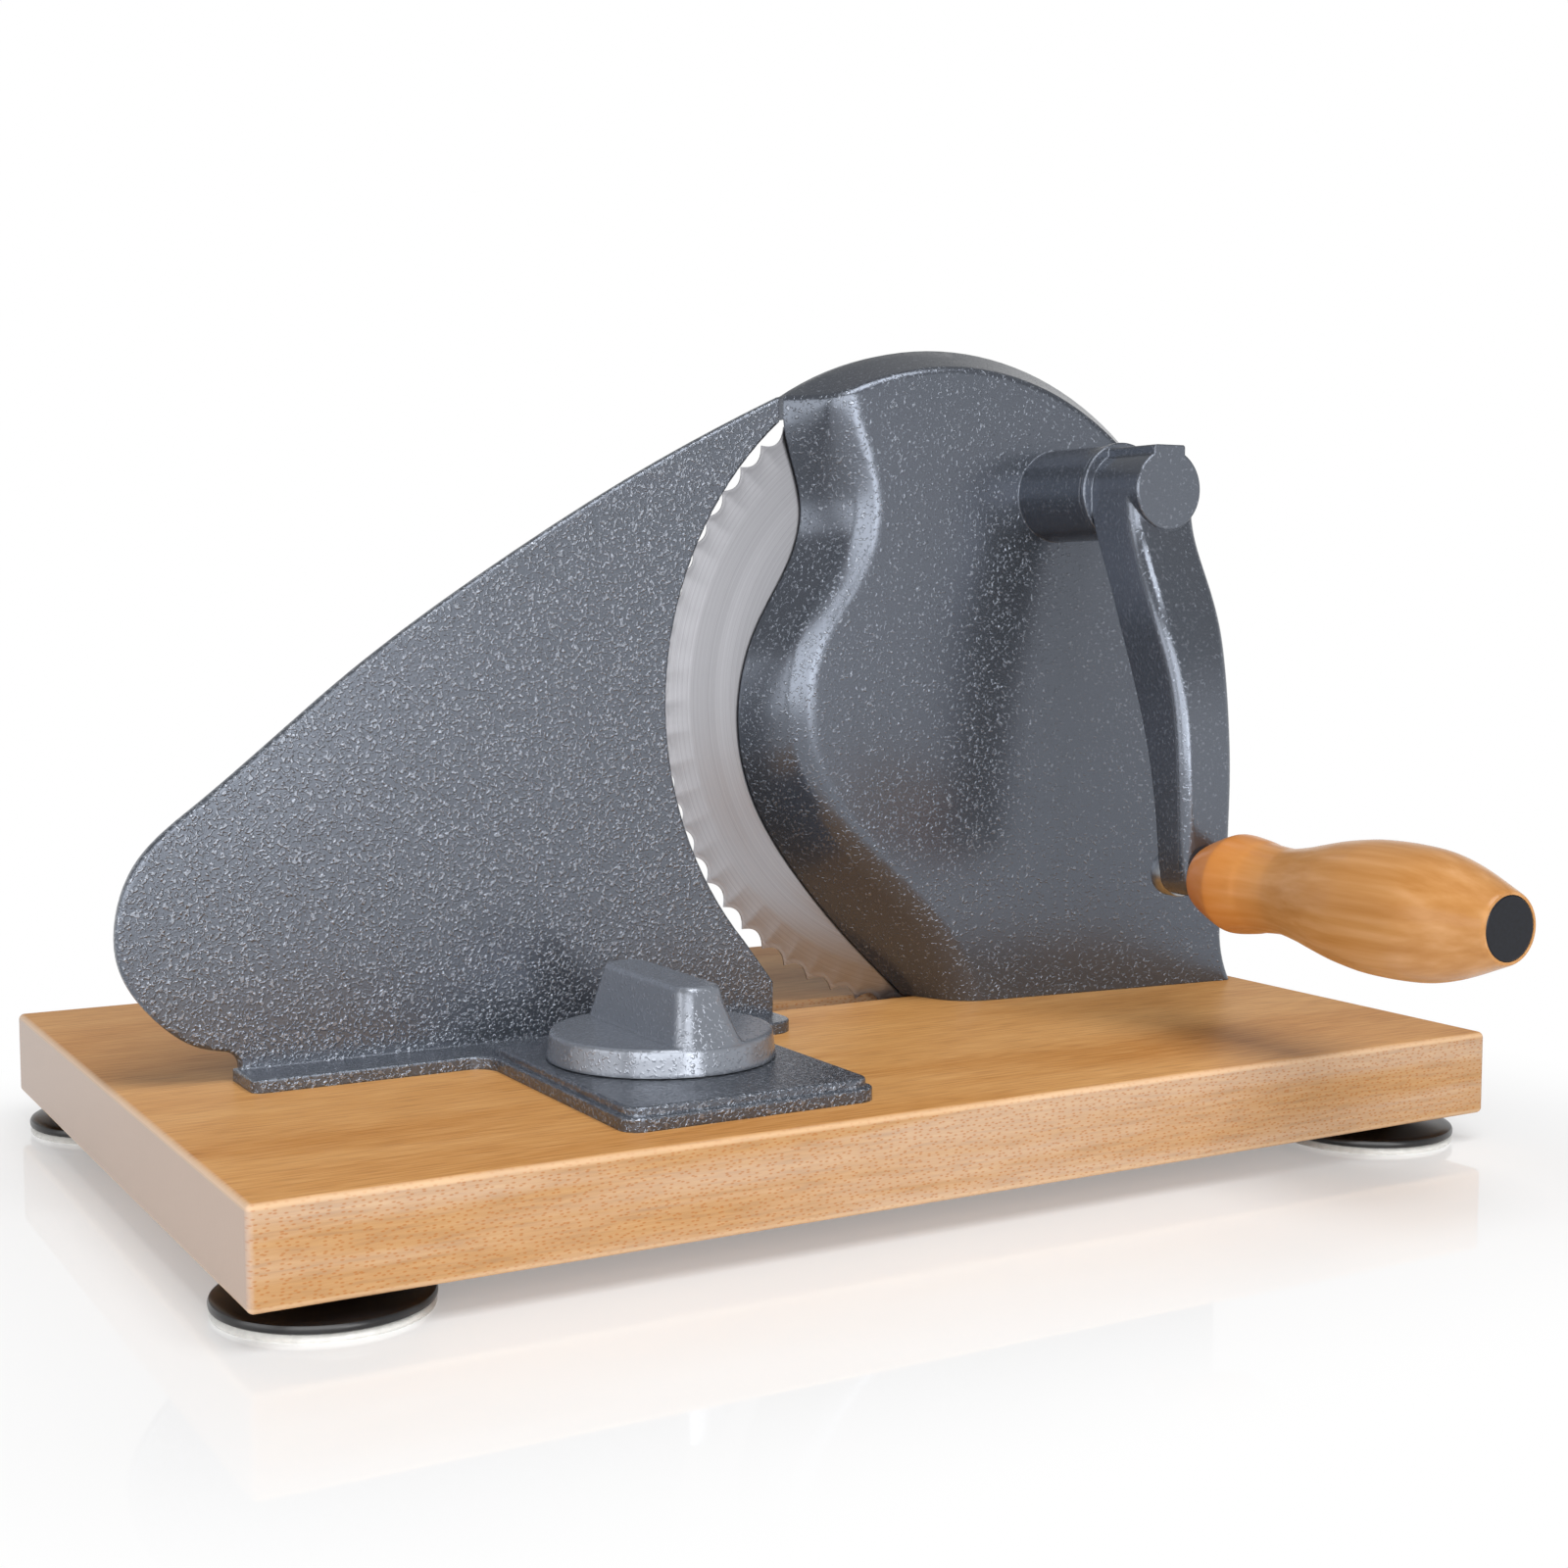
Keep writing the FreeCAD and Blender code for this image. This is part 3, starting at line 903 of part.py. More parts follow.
def make_stop_plate():
    pad_face = rounded_rectangle(FOOT_PLATE_LEFT + PAD_INSET, FOOT_PLATE_RIGHT - PAD_INSET,
                                 FOOT_PLATE_NEAR + PAD_INSET, PLATE_Y - PAD_END,
                                 FLANGE_HEIGHT - 0.6, FOOT_PLATE_ROUND - 0.5)
    pad = pad_face.extrude(V(0, 0, PAD_HEIGHT + 0.6))
    pad = round_edges(pad, 0.8, lambda edge: edge_between(edge, "z", PAD_TOP - 0.1, PAD_TOP + 0.1))
    body = make_foot_plate().fuse([make_plate_sheet(), pad])
    half = PIVOT_RADIUS + FASTENER_GAP
    slot = rounded_rectangle(KNOB_X - half, KNOB_X + half, KNOB_Y - TRAVEL - half,
                             KNOB_Y + SLICE_OVERRUN + half, -1, half - 0.01)
    cuts = [slot.extrude(V(0, 0, PAD_TOP + 2)),
            rod_z(KNOB_X, PIN_Y, PIN_RADIUS, PAD_TOP - PIN_ROOT, PAD_TOP + 1)]
    for x, y in key_screw_places():
        cuts.append(rod_z(x, y, KEY_SCREW_RADIUS, -1, KEY_SCREW_GRIP + FASTENER_GAP))
    return body.cut(cuts)


def make_follower_pin():
    top = PAD_TOP + PIN_HEIGHT
    pin = rod_z(KNOB_X, PIN_Y, PIN_RADIUS, PAD_TOP - PIN_ROOT, top)
    return round_edges(pin, 0.4, lambda edge: edge_between(edge, "z", top - 0.1, top + 1))


def key_screw_places():
    return [(x, KEY_START_Y + share * KEY_LENGTH) for x in key_centres() for share in (0.2, 0.8)]


def make_guide_keys():
    solids = []
    for x in key_centres():
        half = KEY_WIDTH / 2
        key = box(x - half, x + half, KEY_START_Y, KEY_START_Y + KEY_LENGTH, -KEY_DEPTH, 0)
        key = round_edges(key, 1.5, lambda edge: edge.BoundBox.ZLength > 1)
        solids.append(key)
    cuts = []
    for x, y in key_screw_places():
        cuts.append(rod_z(x, y, KEY_SCREW_RADIUS + FASTENER_GAP, -KEY_DEPTH - 1, 1))
        cuts.append(rod_z(x, y, KEY_SCREW_HEAD_RADIUS + FASTENER_GAP, -KEY_DEPTH - 1,
                          -KEY_DEPTH + KEY_SCREW_HEAD + FASTENER_GAP))
    return Part.makeCompound([solid.cut(cuts) for solid in solids])


def make_key_screws():
    solids = []
    for x, y in key_screw_places():
        low = -KEY_DEPTH + FASTENER_GAP
        head = rod_z(x, y, KEY_SCREW_HEAD_RADIUS, low, low + KEY_SCREW_HEAD)
        shank = rod_z(x, y, KEY_SCREW_RADIUS, low + KEY_SCREW_HEAD, KEY_SCREW_GRIP)
        solids.append(head.fuse(shank))
    return Part.makeCompound(solids)


# ---------------------------------------------------------------- knob

def make_scroll_disc():
    """Disc with an Archimedean spiral groove in its underside, for the stop plate's pin."""
    disc = rod_z(KNOB_X, KNOB_Y, SCROLL_RADIUS, KNOB_BASE, KNOB_BASE + SCROLL_THICKNESS)
    half = PIN_RADIUS + SLIDING
    first = -math.pi / 2 - TRAVEL / SCROLL_RATE
    last = -math.pi / 2 + SLICE_OVERRUN / SCROLL_RATE
    count = 25

    def spiral(offset, z):
        points = []
        for i in range(count):
            angle = first + (last - first) * i / (count - 1)
            radius = SCROLL_START + SCROLL_RATE * (angle + math.pi / 2)
            tilt = math.atan2(SCROLL_RATE, radius)
            points.append(V(KNOB_X + radius * math.cos(angle) + offset * math.cos(angle - tilt),
                            KNOB_Y + radius * math.sin(angle) + offset * math.sin(angle - tilt), z))
        return points

    low = KNOB_BASE - 1.0
    inner, centre, outer = spiral(-half, low), spiral(0.0, low), spiral(half, low)

    def cap(a, c, b, direction):
        return arc(a, c + direction * half, b)

    start_out = (centre[0] - centre[1]).normalize()
    end_out = (centre[-1] - centre[-2]).normalize()
    groove = face_of([spline(inner), cap(inner[-1], centre[-1], outer[-1], end_out),
                      spline(outer), cap(outer[0], centre[0], inner[0], start_out)])
    groove = groove.extrude(V(0, 0, 1.0 + GROOVE_DEPTH))
    disc_top = KNOB_BASE + SCROLL_THICKNESS
    bore = rod_z(KNOB_X, KNOB_Y, PIVOT_RADIUS + RUNNING, KNOB_BASE - 1, disc_top + 1)
    head_room = rod_z(KNOB_X, KNOB_Y, PIVOT_HEAD_RADIUS + FASTENER_GAP, PIVOT_SEAT, disc_top + 1)
    return disc.cut([groove, bore, head_room])


def make_pivot_screw():
    """Shoulder screw that the knob turns on; its head sits inside the scroll disc."""
    seat = PIVOT_SEAT + 2 * RUNNING
    shoulder = rod_z(KNOB_X, KNOB_Y, PIVOT_RADIUS, -BOARD_THICKNESS + NUT_FLANGE, seat)
    head = rod_z(KNOB_X, KNOB_Y, PIVOT_HEAD_RADIUS, seat, seat + PIVOT_HEAD)
    slot = box(KNOB_X - PIVOT_HEAD_RADIUS - 1, KNOB_X + PIVOT_HEAD_RADIUS + 1, KNOB_Y - 0.6, KNOB_Y + 0.6,
               seat + PIVOT_HEAD / 2, seat + PIVOT_HEAD + 1)
    return shoulder.fuse(head).cut(slot)


def make_pivot_nut():
    under = -BOARD_THICKNESS
    flange = rod_z(KNOB_X, KNOB_Y, NUT_FLANGE_RADIUS, under, under + NUT_FLANGE)
    barrel = rod_z(KNOB_X, KNOB_Y, NUT_BARREL_RADIUS, under, under + NUT_LENGTH)
    return flange.fuse(barrel).cut(rod_z(KNOB_X, KNOB_Y, PIVOT_RADIUS, under - 1, under + NUT_LENGTH + 1))


def make_knob():
    """Round knob with a grip bar across it; the bar's ends run out flush with the skirt."""
    top_radius = KNOB_RADIUS - KNOB_DRAFT
    skirt = Part.makeCone(KNOB_RADIUS, top_radius, KNOB_SKIRT, V(KNOB_X, KNOB_Y, KNOB_BASE), V(0, 0, 1))
    crest = KNOB_TOP + GRIP_BAR_HEIGHT
    spread = 3.2
    foot = GRIP_BAR_FOOT
    top = GRIP_BAR_TOP
    waist = (foot + top) / 2.0
    low = KNOB_TOP - 0.5
    right = xz([(KNOB_X + foot + spread, low), (KNOB_X + foot + 0.2, KNOB_TOP + 1.8),
                (KNOB_X + waist, KNOB_TOP + 6.0), (KNOB_X + top, crest)])
    left = xz([(KNOB_X - top, crest), (KNOB_X - foot, low)])
    bar = face_of([line(left[-1], right[0]), spline(right, V(-1, 0, 0.05), V(-0.1, 0, 1)),
                   line(right[-1], left[0]), line(left[0], left[-1])])
    bar.translate(V(0, KNOB_Y - KNOB_RADIUS - 1, 0))
    bar = bar.extrude(V(0, 2 * KNOB_RADIUS + 2, 0))
    reach = Part.makeCone(top_radius + 0.1, top_radius - 5.0, GRIP_BAR_HEIGHT + 0.5,
                          V(KNOB_X, KNOB_Y, KNOB_TOP - 0.5), V(0, 0, 1))
    bar = bar.common(reach)
    bar = round_edges(bar, GRIP_BAR_CORNER, lambda edge: edge.BoundBox.ZLength > GRIP_BAR_HEIGHT - 1)
    bar = round_edges(bar, GRIP_BAR_EDGE, lambda edge: edge_between(edge, "z", crest - 0.1, crest + 0.1))
    skirt = round_edges(skirt, KNOB_EDGE, lambda edge: edge_between(edge, "z", KNOB_TOP - 0.1, KNOB_TOP + 0.1))
    body = skirt.fuse(bar)
    recess = rod_z(KNOB_X, KNOB_Y, SCROLL_RADIUS, KNOB_BASE - 1, KNOB_BASE + SCROLL_THICKNESS)
    half_wide = GRIP_BAR_TOP - KNOB_WALL
    half_long = KNOB_RADIUS - GRIP_BAR_WALL
    hollow = box(KNOB_X - half_wide, KNOB_X + half_wide, KNOB_Y - half_long, KNOB_Y + half_long,
                 KNOB_BASE, crest - KNOB_WALL)
    return body.cut([recess, hollow])


# ---------------------------------------------------------------- writing

def save(name, shape):
    shape = shape.copy()
    shape.translate(-ORIGIN)
    if not shape.isValid():
        print("not valid:", name)
    shape.exportStep("parts/" + name + ".step")


def main():
    os.makedirs("parts", exist_ok=True)
    save("base_board", make_board())
    for name, x, y in foot_places():
        save("foot_disc_" + name, make_foot_disc(x, y))
        save("suction_cup_" + name, make_suction_cup(x, y))
    save("housing_screws", make_housing_screws())
    save("gear_housing", make_housing())
    save("crank_bush", make_crank_bush())
    save("blade_axle", make_axle())
    save("thrust_washer", make_thrust_washer())
    save("blade_lock_screw", make_lock_screw())
    save("slicing_blade", make_blade())
    save("blade_gear", make_blade_gear())
    save("blade_rivets", make_blade_rivets())
    save("hub_bush", make_hub_bush())
    save("crank_shaft", make_shaft())
    save("drive_pinion", make_pinion())
    save("shaft_clip", make_shaft_clip())
    save("crank_arm", make_crank_arm())
    save("hub_set_screw", make_set_screw())
    save("handle_spindle", make_spindle())
    save("spindle_washer", make_spindle_washer())
    save("spindle_nut", make_spindle_nut())
    save("handle_grip", make_grip())
    save("handle_end_cap", make_end_cap())
    save("stop_plate", make_stop_plate())
    save("follower_pin", make_follower_pin())
    save("guide_keys", make_guide_keys())
    save("key_screws", make_key_screws())
    save("scroll_disc", make_scroll_disc())
    save("adjusting_knob", make_knob())
    save("pivot_screw", make_pivot_screw())
    save("pivot_nut", make_pivot_nut())


main()
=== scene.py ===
import math

import bmesh
import bpy
from mathutils import Matrix, Vector


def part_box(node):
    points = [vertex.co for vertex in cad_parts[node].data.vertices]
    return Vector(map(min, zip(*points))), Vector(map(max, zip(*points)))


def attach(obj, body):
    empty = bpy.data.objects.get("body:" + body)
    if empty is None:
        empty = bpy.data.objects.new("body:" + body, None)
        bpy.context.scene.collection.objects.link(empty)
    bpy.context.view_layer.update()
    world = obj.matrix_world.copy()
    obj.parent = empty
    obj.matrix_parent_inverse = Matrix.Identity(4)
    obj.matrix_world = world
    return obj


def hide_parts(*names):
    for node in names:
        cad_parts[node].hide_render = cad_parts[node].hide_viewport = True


bl_info = {
    "name": "Bread slicer",
    "version": (1, 0, 0),
    "blender": (4, 5, 0),
    "location": "View3D > Sidebar > Bread slicer",
    "description": "Dresses the frame of a hand-cranked bread slicer",
    "category": "Object",
}

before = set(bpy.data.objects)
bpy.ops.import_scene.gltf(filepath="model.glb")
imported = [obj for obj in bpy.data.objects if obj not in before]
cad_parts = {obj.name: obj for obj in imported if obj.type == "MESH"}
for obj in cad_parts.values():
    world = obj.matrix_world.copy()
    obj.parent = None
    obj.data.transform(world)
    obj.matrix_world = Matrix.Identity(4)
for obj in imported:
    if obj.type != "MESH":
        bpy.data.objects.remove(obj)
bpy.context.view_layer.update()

MM = 0.001
BOARD_LOW, BOARD_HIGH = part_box("base_board")
BENCH = Vector((BOARD_LOW.x, BOARD_LOW.y, BOARD_HIGH.z))    # the board's near left top corner


def at(x, y, z):
    """Place in metres from millimetres counted from the board's near left top corner."""
    return BENCH + Vector((x, y, z)) * MM


def middle(node_name):
    """Middle of a solid's box."""
    low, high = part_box(node_name)
    return (low + high) / 2


def linear(hex_colour):
    """Linear RGBA from an sRGB hex colour."""
    text = hex_colour.lstrip("#")
    channels = [int(text[i:i + 2], 16) / 255 for i in (0, 2, 4)]
    return tuple(c / 12.92 if c <= 0.04045 else ((c + 0.055) / 1.055) ** 2.4 for c in channels) + (1.0,)


def add(tree, kind, inputs=None, ramp=None, **settings):
    """A node with its settings, its inputs as values or links, and a colour ramp's stops."""
    made = tree.nodes.new(kind)
    for key, value in settings.items():
        setattr(made, key, value)
    for key, value in (inputs or {}).items():
        if isinstance(value, bpy.types.NodeSocket):
            tree.links.new(value, made.inputs[key])
        else:
            made.inputs[key].default_value = value
    if ramp:
        stops = made.color_ramp.elements
        while len(stops) < len(ramp):
            stops.new(0.5)
        for stop, (place, colour) in zip(stops, ramp):
            stop.position = place
            stop.color = linear(colour) if isinstance(colour, str) else (colour, colour, colour, 1.0)
    return made


# ---------------------------------------------------------------- finishes

NUMBER_A, NUMBER_B = 2, 3       # a Mix node's inputs for two numbers
COLOUR_A, COLOUR_B = 6, 7       # and for two colours


def new_finish(name):
    """Empty material, its node tree and the piece's own coordinates."""
    finish = bpy.data.materials.new(name)
    finish.use_nodes = True
    tree = finish.node_tree
    tree.nodes.clear()
    return finish, tree, add(tree, "ShaderNodeTexCoord").outputs


def per_metre(*sizes_mm):
    """Scale of a pattern along each axis, from the size of its grain in millimetres."""
    return tuple(1 / (size * MM) for size in sizes_mm)


def hammered_enamel(name, ground, glint_colour, relief_mm, start, swell_mm=0.9, metal=0.75, film_mm=0.7,
                    roughness=0.25):
    """Stoved hammer-finish enamel on a casting: aluminium flake under gloss, shrunk into short swells.

    The eye gets an even, glossy ground with raised strokes, whose paler colour is a painted highlight for
    their glint. ground is the ground's colour and the other colour is that painted highlight. swell_mm is the
    size of a stroke and relief_mm its height. start is how high the noise stands where a stroke begins, so a
    higher one leaves fewer of them, and film_mm is how far the thick film softens an edge.
    """
    foot, crown, blend = 0.06, 0.12, 0.08       # of the noise's height: a swell's sides and its colour's edge
    finish, tree, coordinates = new_finish(name)
    strokes = add(tree, "ShaderNodeTexNoise", {
        "Vector": coordinates["Object"], "Scale": 1 / (swell_mm * MM), "Detail": 1.0, "Roughness": 0.4,
        "Distortion": 0.6})
    raised = add(tree, "ShaderNodeValToRGB", {"Fac": strokes.outputs["Fac"]},
                 ramp=[(start - foot, 0.0), (start + crown, 1.0)])
    raised.color_ramp.interpolation = "EASE"
    height = add(tree, "ShaderNodeMath", {0: raised.outputs["Color"], 1: relief_mm * MM},
                 operation="MULTIPLY")
    softened = add(tree, "ShaderNodeBevel", {"Radius": film_mm * MM}, samples=4)
    bump = add(tree, "ShaderNodeBump", {"Height": height.outputs[0], "Distance": 1.0, "Strength": 1.0,
                                        "Normal": softened.outputs["Normal"]})
    # The paler colour on the raised strokes is a painted highlight, standing in for their glint.
    tone = add(tree, "ShaderNodeValToRGB", {"Fac": strokes.outputs["Fac"]},
               ramp=[(start, ground), (start + blend, glint_colour)])
    shader = add(tree, "ShaderNodeBsdfPrincipled", {
        "Base Color": tone.outputs["Color"], "Normal": bump.outputs["Normal"], "Metallic": metal,
        "Roughness": roughness})
    add(tree, "ShaderNodeOutputMaterial", {"Surface": shader.outputs["BSDF"]})
    return finish


FIBRE_MM = (14.3, 1.0, 1.0)         # along, across and up the board
BAND_MM = (143.0, 25.0, 9.1)
FLECK_MM = (2.22, 0.91)             # along and up a long edge
# The paler arrises are a painted highlight along the rounded edges, not rubbed oil.
ARRIS_HIGHLIGHT = 1.8                        # how strongly the arrises turn paler


def board_beech():
    """Steamed beech, planed and oiled: long grain on top, short dark ray flecks on the quartered long edges.

    Real pores are about a tenth as wide as this fibre, which is as coarse as it needs to be to show. The sawn
    ends are painted a pale grey, a painted reflection, and the rounded arrises are painted palest, a painted
    highlight.
    """
    finish, tree, coordinates = new_finish("oiled_beech_board")
    fibre_map = add(tree, "ShaderNodeMapping", {
        "Vector": coordinates["Object"], "Scale": per_metre(*FIBRE_MM)})
    fibre = add(tree, "ShaderNodeTexNoise", {
        "Vector": fibre_map.outputs[0], "Scale": 1.0, "Detail": 3.0, "Roughness": 0.6, "Distortion": 0.3})
    band_map = add(tree, "ShaderNodeMapping", {
        "Vector": coordinates["Object"], "Scale": per_metre(*BAND_MM)})
    bands = add(tree, "ShaderNodeTexNoise", {
        "Vector": band_map.outputs[0], "Scale": 1.0, "Detail": 3.0, "Distortion": 0.6})
    grain = add(tree, "ShaderNodeValToRGB", {"Fac": fibre.outputs["Fac"]},
                ramp=[(0.3, "#99652f"), (0.5, "#c68e4e"), (0.7, "#d9a86c")])
    top_band = add(tree, "ShaderNodeValToRGB", {"Fac": bands.outputs["Fac"]},
                   ramp=[(0.35, "#b57a3d"), (0.65, "#d5a36a")])
    top = add(tree, "ShaderNodeMix", {
        "Factor": 0.5, COLOUR_A: grain.outputs["Color"], COLOUR_B: top_band.outputs["Color"]},
        data_type="RGBA")
    edge_band = add(tree, "ShaderNodeValToRGB", {"Fac": bands.outputs["Fac"]},
                    ramp=[(0.38, "#ac8a66"), (0.62, "#baa591")])
    long_edge = add(tree, "ShaderNodeMix", {
        "Factor": 0.3, COLOUR_A: edge_band.outputs["Color"], COLOUR_B: grain.outputs["Color"]},
        data_type="RGBA")

    # How far the surface faces along, across and up the board chooses between ends, long edges and top.
    facing = add(tree, "ShaderNodeSeparateXYZ", {"Vector": coordinates["Normal"]})
    along, across, up = (
        add(tree, "ShaderNodeMath", {0: facing.outputs[axis]}, operation="ABSOLUTE").outputs[0]
        for axis in "XYZ")
    sides = add(tree, "ShaderNodeMix", {
        "Factor": across, COLOUR_A: top.outputs["Result"], COLOUR_B: long_edge.outputs["Result"]},
        data_type="RGBA")
    # The pale grey of the sawn ends is a painted reflection.
    with_end_reflection = add(tree, "ShaderNodeMix", {
        "Factor": along, COLOUR_A: sides.outputs["Result"], COLOUR_B: linear("#bca697")}, data_type="RGBA")

    place = add(tree, "ShaderNodeSeparateXYZ", {"Vector": coordinates["Object"]})
    flecks_along, flecks_up = (
        add(tree, "ShaderNodeMath", {0: place.outputs[axis], 1: scale}, operation="MULTIPLY").outputs[0]
        for axis, scale in zip("XZ", per_metre(*FLECK_MM)))
    flat = add(tree, "ShaderNodeCombineXYZ", {"X": flecks_along, "Y": flecks_up})
    fleck = add(tree, "ShaderNodeTexVoronoi", {"Vector": flat.outputs[0], "Scale": 1.0, "Randomness": 0.85},
                voronoi_dimensions="2D")
    ray = add(tree, "ShaderNodeMapRange", {
        "Value": fleck.outputs["Distance"], "From Min": 0.12, "From Max": 0.28, "To Min": 0.55,
        "To Max": 0.0})
    dark = add(tree, "ShaderNodeMath", {0: ray.outputs[0], 1: across}, operation="MULTIPLY")
    flecked = add(tree, "ShaderNodeMix", {
        "Factor": dark.outputs[0], COLOUR_A: with_end_reflection.outputs["Result"], COLOUR_B: linear("#a8642a")},
        data_type="RGBA")

    # A rounded arris faces neither straight up nor straight out; the pale colour laid there is a painted
    # highlight.
    not_up = add(tree, "ShaderNodeMath", {0: 1.0, 1: up}, operation="SUBTRACT")
    arris = add(tree, "ShaderNodeMath", {0: up, 1: not_up.outputs[0]}, operation="MULTIPLY")
    painted_arris_highlight = add(tree, "ShaderNodeMath", {0: arris.outputs[0], 1: ARRIS_HIGHLIGHT}, operation="MULTIPLY")
    wood = add(tree, "ShaderNodeMix", {
        "Factor": painted_arris_highlight.outputs[0], COLOUR_A: flecked.outputs["Result"], COLOUR_B: linear("#e6c6a2")},
        data_type="RGBA")
    bump = add(tree, "ShaderNodeBump", {
        "Height": fibre.outputs["Fac"], "Distance": 0.1 * MM, "Strength": 0.25})
    dullness = add(tree, "ShaderNodeMapRange", {"Value": facing.outputs["Z"], "To Min": 0.2, "To Max": 0.4})
    shader = add(tree, "ShaderNodeBsdfPrincipled", {
        "Base Color": wood.outputs["Result"], "Normal": bump.outputs["Normal"],
        "Roughness": dullness.outputs[0], "IOR": 1.15})
    add(tree, "ShaderNodeOutputMaterial", {"Surface": shader.outputs["BSDF"]})
    return finish


GRIP_GRAIN_MM = (3.33, 62.5, 3.33)      # the grip lies along Y; coarser than real pores, so that it shows
# Over this length next to the arm, the darker colour is a painted warm shade and reflection, not varnish.
WARM_SHADE_MM = 35.0                          # length of the grip that the darker varnish runs over


def grip_beech():
    """Turned beech under clear varnish: fine grain along the grip, and a painted warm shade and reflection
    towards the arm.
    """
    finish, tree, coordinates = new_finish("varnished_beech_grip")
    grain_map = add(tree, "ShaderNodeMapping", {
        "Vector": coordinates["Object"], "Scale": per_metre(*GRIP_GRAIN_MM)})
    grain = add(tree, "ShaderNodeTexNoise", {
        "Vector": grain_map.outputs[0], "Scale": 1.0, "Detail": 3.0, "Distortion": 0.1})
    tone = add(tree, "ShaderNodeValToRGB", {"Fac": grain.outputs["Fac"]},
               ramp=[(0.3, "#ad773f"), (0.52, "#b8844e"), (0.75, "#c59463")])
    bump = add(tree, "ShaderNodeBump", {
        "Height": grain.outputs["Fac"], "Distance": 0.08 * MM, "Strength": 0.2})
    arm_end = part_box("handle_grip")[1].y
    along = add(tree, "ShaderNodeSeparateXYZ", {"Vector": coordinates["Object"]}).outputs["Y"]
    # Towards the arm the colour turns to a painted warm shade and reflection.
    painted_warm_shade = add(tree, "ShaderNodeMapRange", {
        "Value": along, "From Min": arm_end - WARM_SHADE_MM * MM, "From Max": arm_end, "To Max": 0.75})
    wood = add(tree, "ShaderNodeMix", {
        "Factor": painted_warm_shade.outputs[0], COLOUR_A: tone.outputs["Color"], COLOUR_B: linear("#d8812f")},
        data_type="RGBA")
    shader = add(tree, "ShaderNodeBsdfPrincipled", {
        "Base Color": wood.outputs["Result"], "Normal": bump.outputs["Normal"], "Roughness": 0.24,
        "IOR": 1.36})
    add(tree, "ShaderNodeOutputMaterial", {"Surface": shader.outputs["BSDF"]})
    return finish


RING_MM = 0.385     # real grinding marks are finer, and too fine to show


def brushed_blade():
    """Stainless blade steel, ground on a turning wheel: satin, with fine rings about the axle."""
    finish, tree, coordinates = new_finish("ring_ground_stainless")
    centred = add(tree, "ShaderNodeVectorMath", {
        0: coordinates["Object"], 1: tuple(middle("slicing_blade"))}, operation="SUBTRACT")
    parts = add(tree, "ShaderNodeSeparateXYZ", {"Vector": centred.outputs[0]})
    flat = add(tree, "ShaderNodeCombineXYZ", {"X": parts.outputs["X"], "Z": parts.outputs["Z"]})
    radius = add(tree, "ShaderNodeVectorMath", {0: flat.outputs[0]}, operation="LENGTH")
    rings = add(tree, "ShaderNodeTexNoise", {
        "W": radius.outputs["Value"], "Scale": 1 / (RING_MM * MM), "Detail": 3.0}, noise_dimensions="1D")
    tone = add(tree, "ShaderNodeValToRGB", {"Fac": rings.outputs["Fac"]},
               ramp=[(0.3, "#99999d"), (0.7, "#a8a8ad")])
    bump = add(tree, "ShaderNodeBump", {
        "Height": rings.outputs["Fac"], "Distance": 0.04 * MM, "Strength": 0.3})
    shader = add(tree, "ShaderNodeBsdfPrincipled", {
        "Base Color": tone.outputs["Color"], "Normal": bump.outputs["Normal"], "Metallic": 1.0,
        "Roughness": 0.3, "Anisotropic": 0.4})
    add(tree, "ShaderNodeOutputMaterial", {"Surface": shader.outputs["BSDF"]})
    return finish


def grained(name, colours, grain_mm, depth_mm, strength, inputs):
    """Two close tones over a fine grain that is raised by its depth; inputs are the shader's even values."""
    finish, tree, coordinates = new_finish(name)
    grain = add(tree, "ShaderNodeTexNoise", {
        "Vector": coordinates["Object"], "Scale": 1 / (grain_mm * MM), "Detail": 2.0})
    tone = add(tree, "ShaderNodeValToRGB", {"Fac": grain.outputs["Fac"]},
               ramp=[(0.35, colours[0]), (0.65, colours[1])])
    bump = add(tree, "ShaderNodeBump", {
        "Height": grain.outputs["Fac"], "Distance": depth_mm * MM, "Strength": strength})
    shader = add(tree, "ShaderNodeBsdfPrincipled", {
        "Base Color": tone.outputs["Color"], "Normal": bump.outputs["Normal"], **inputs})
    add(tree, "ShaderNodeOutputMaterial", {"Surface": shader.outputs["BSDF"]})
    return finish


def machined_metal(name, colours, grain_mm, roughness):
    """Turned, plated or sintered metal: bright, with a faint tool grain, drawn coarse enough to show."""
    return grained(name, colours, grain_mm, depth_mm=0.03, strength=0.3,
                   inputs={"Metallic": 1.0, "Roughness": roughness})


def moulded(name, colours, grain_mm, depth_mm, roughness, ior):
    """Moulded rubber or plastic: even colour with the mould's faint grain, drawn coarse enough to show."""
    return grained(name, colours, grain_mm, depth_mm, strength=0.4,
                   inputs={"Roughness": roughness, "IOR": ior})
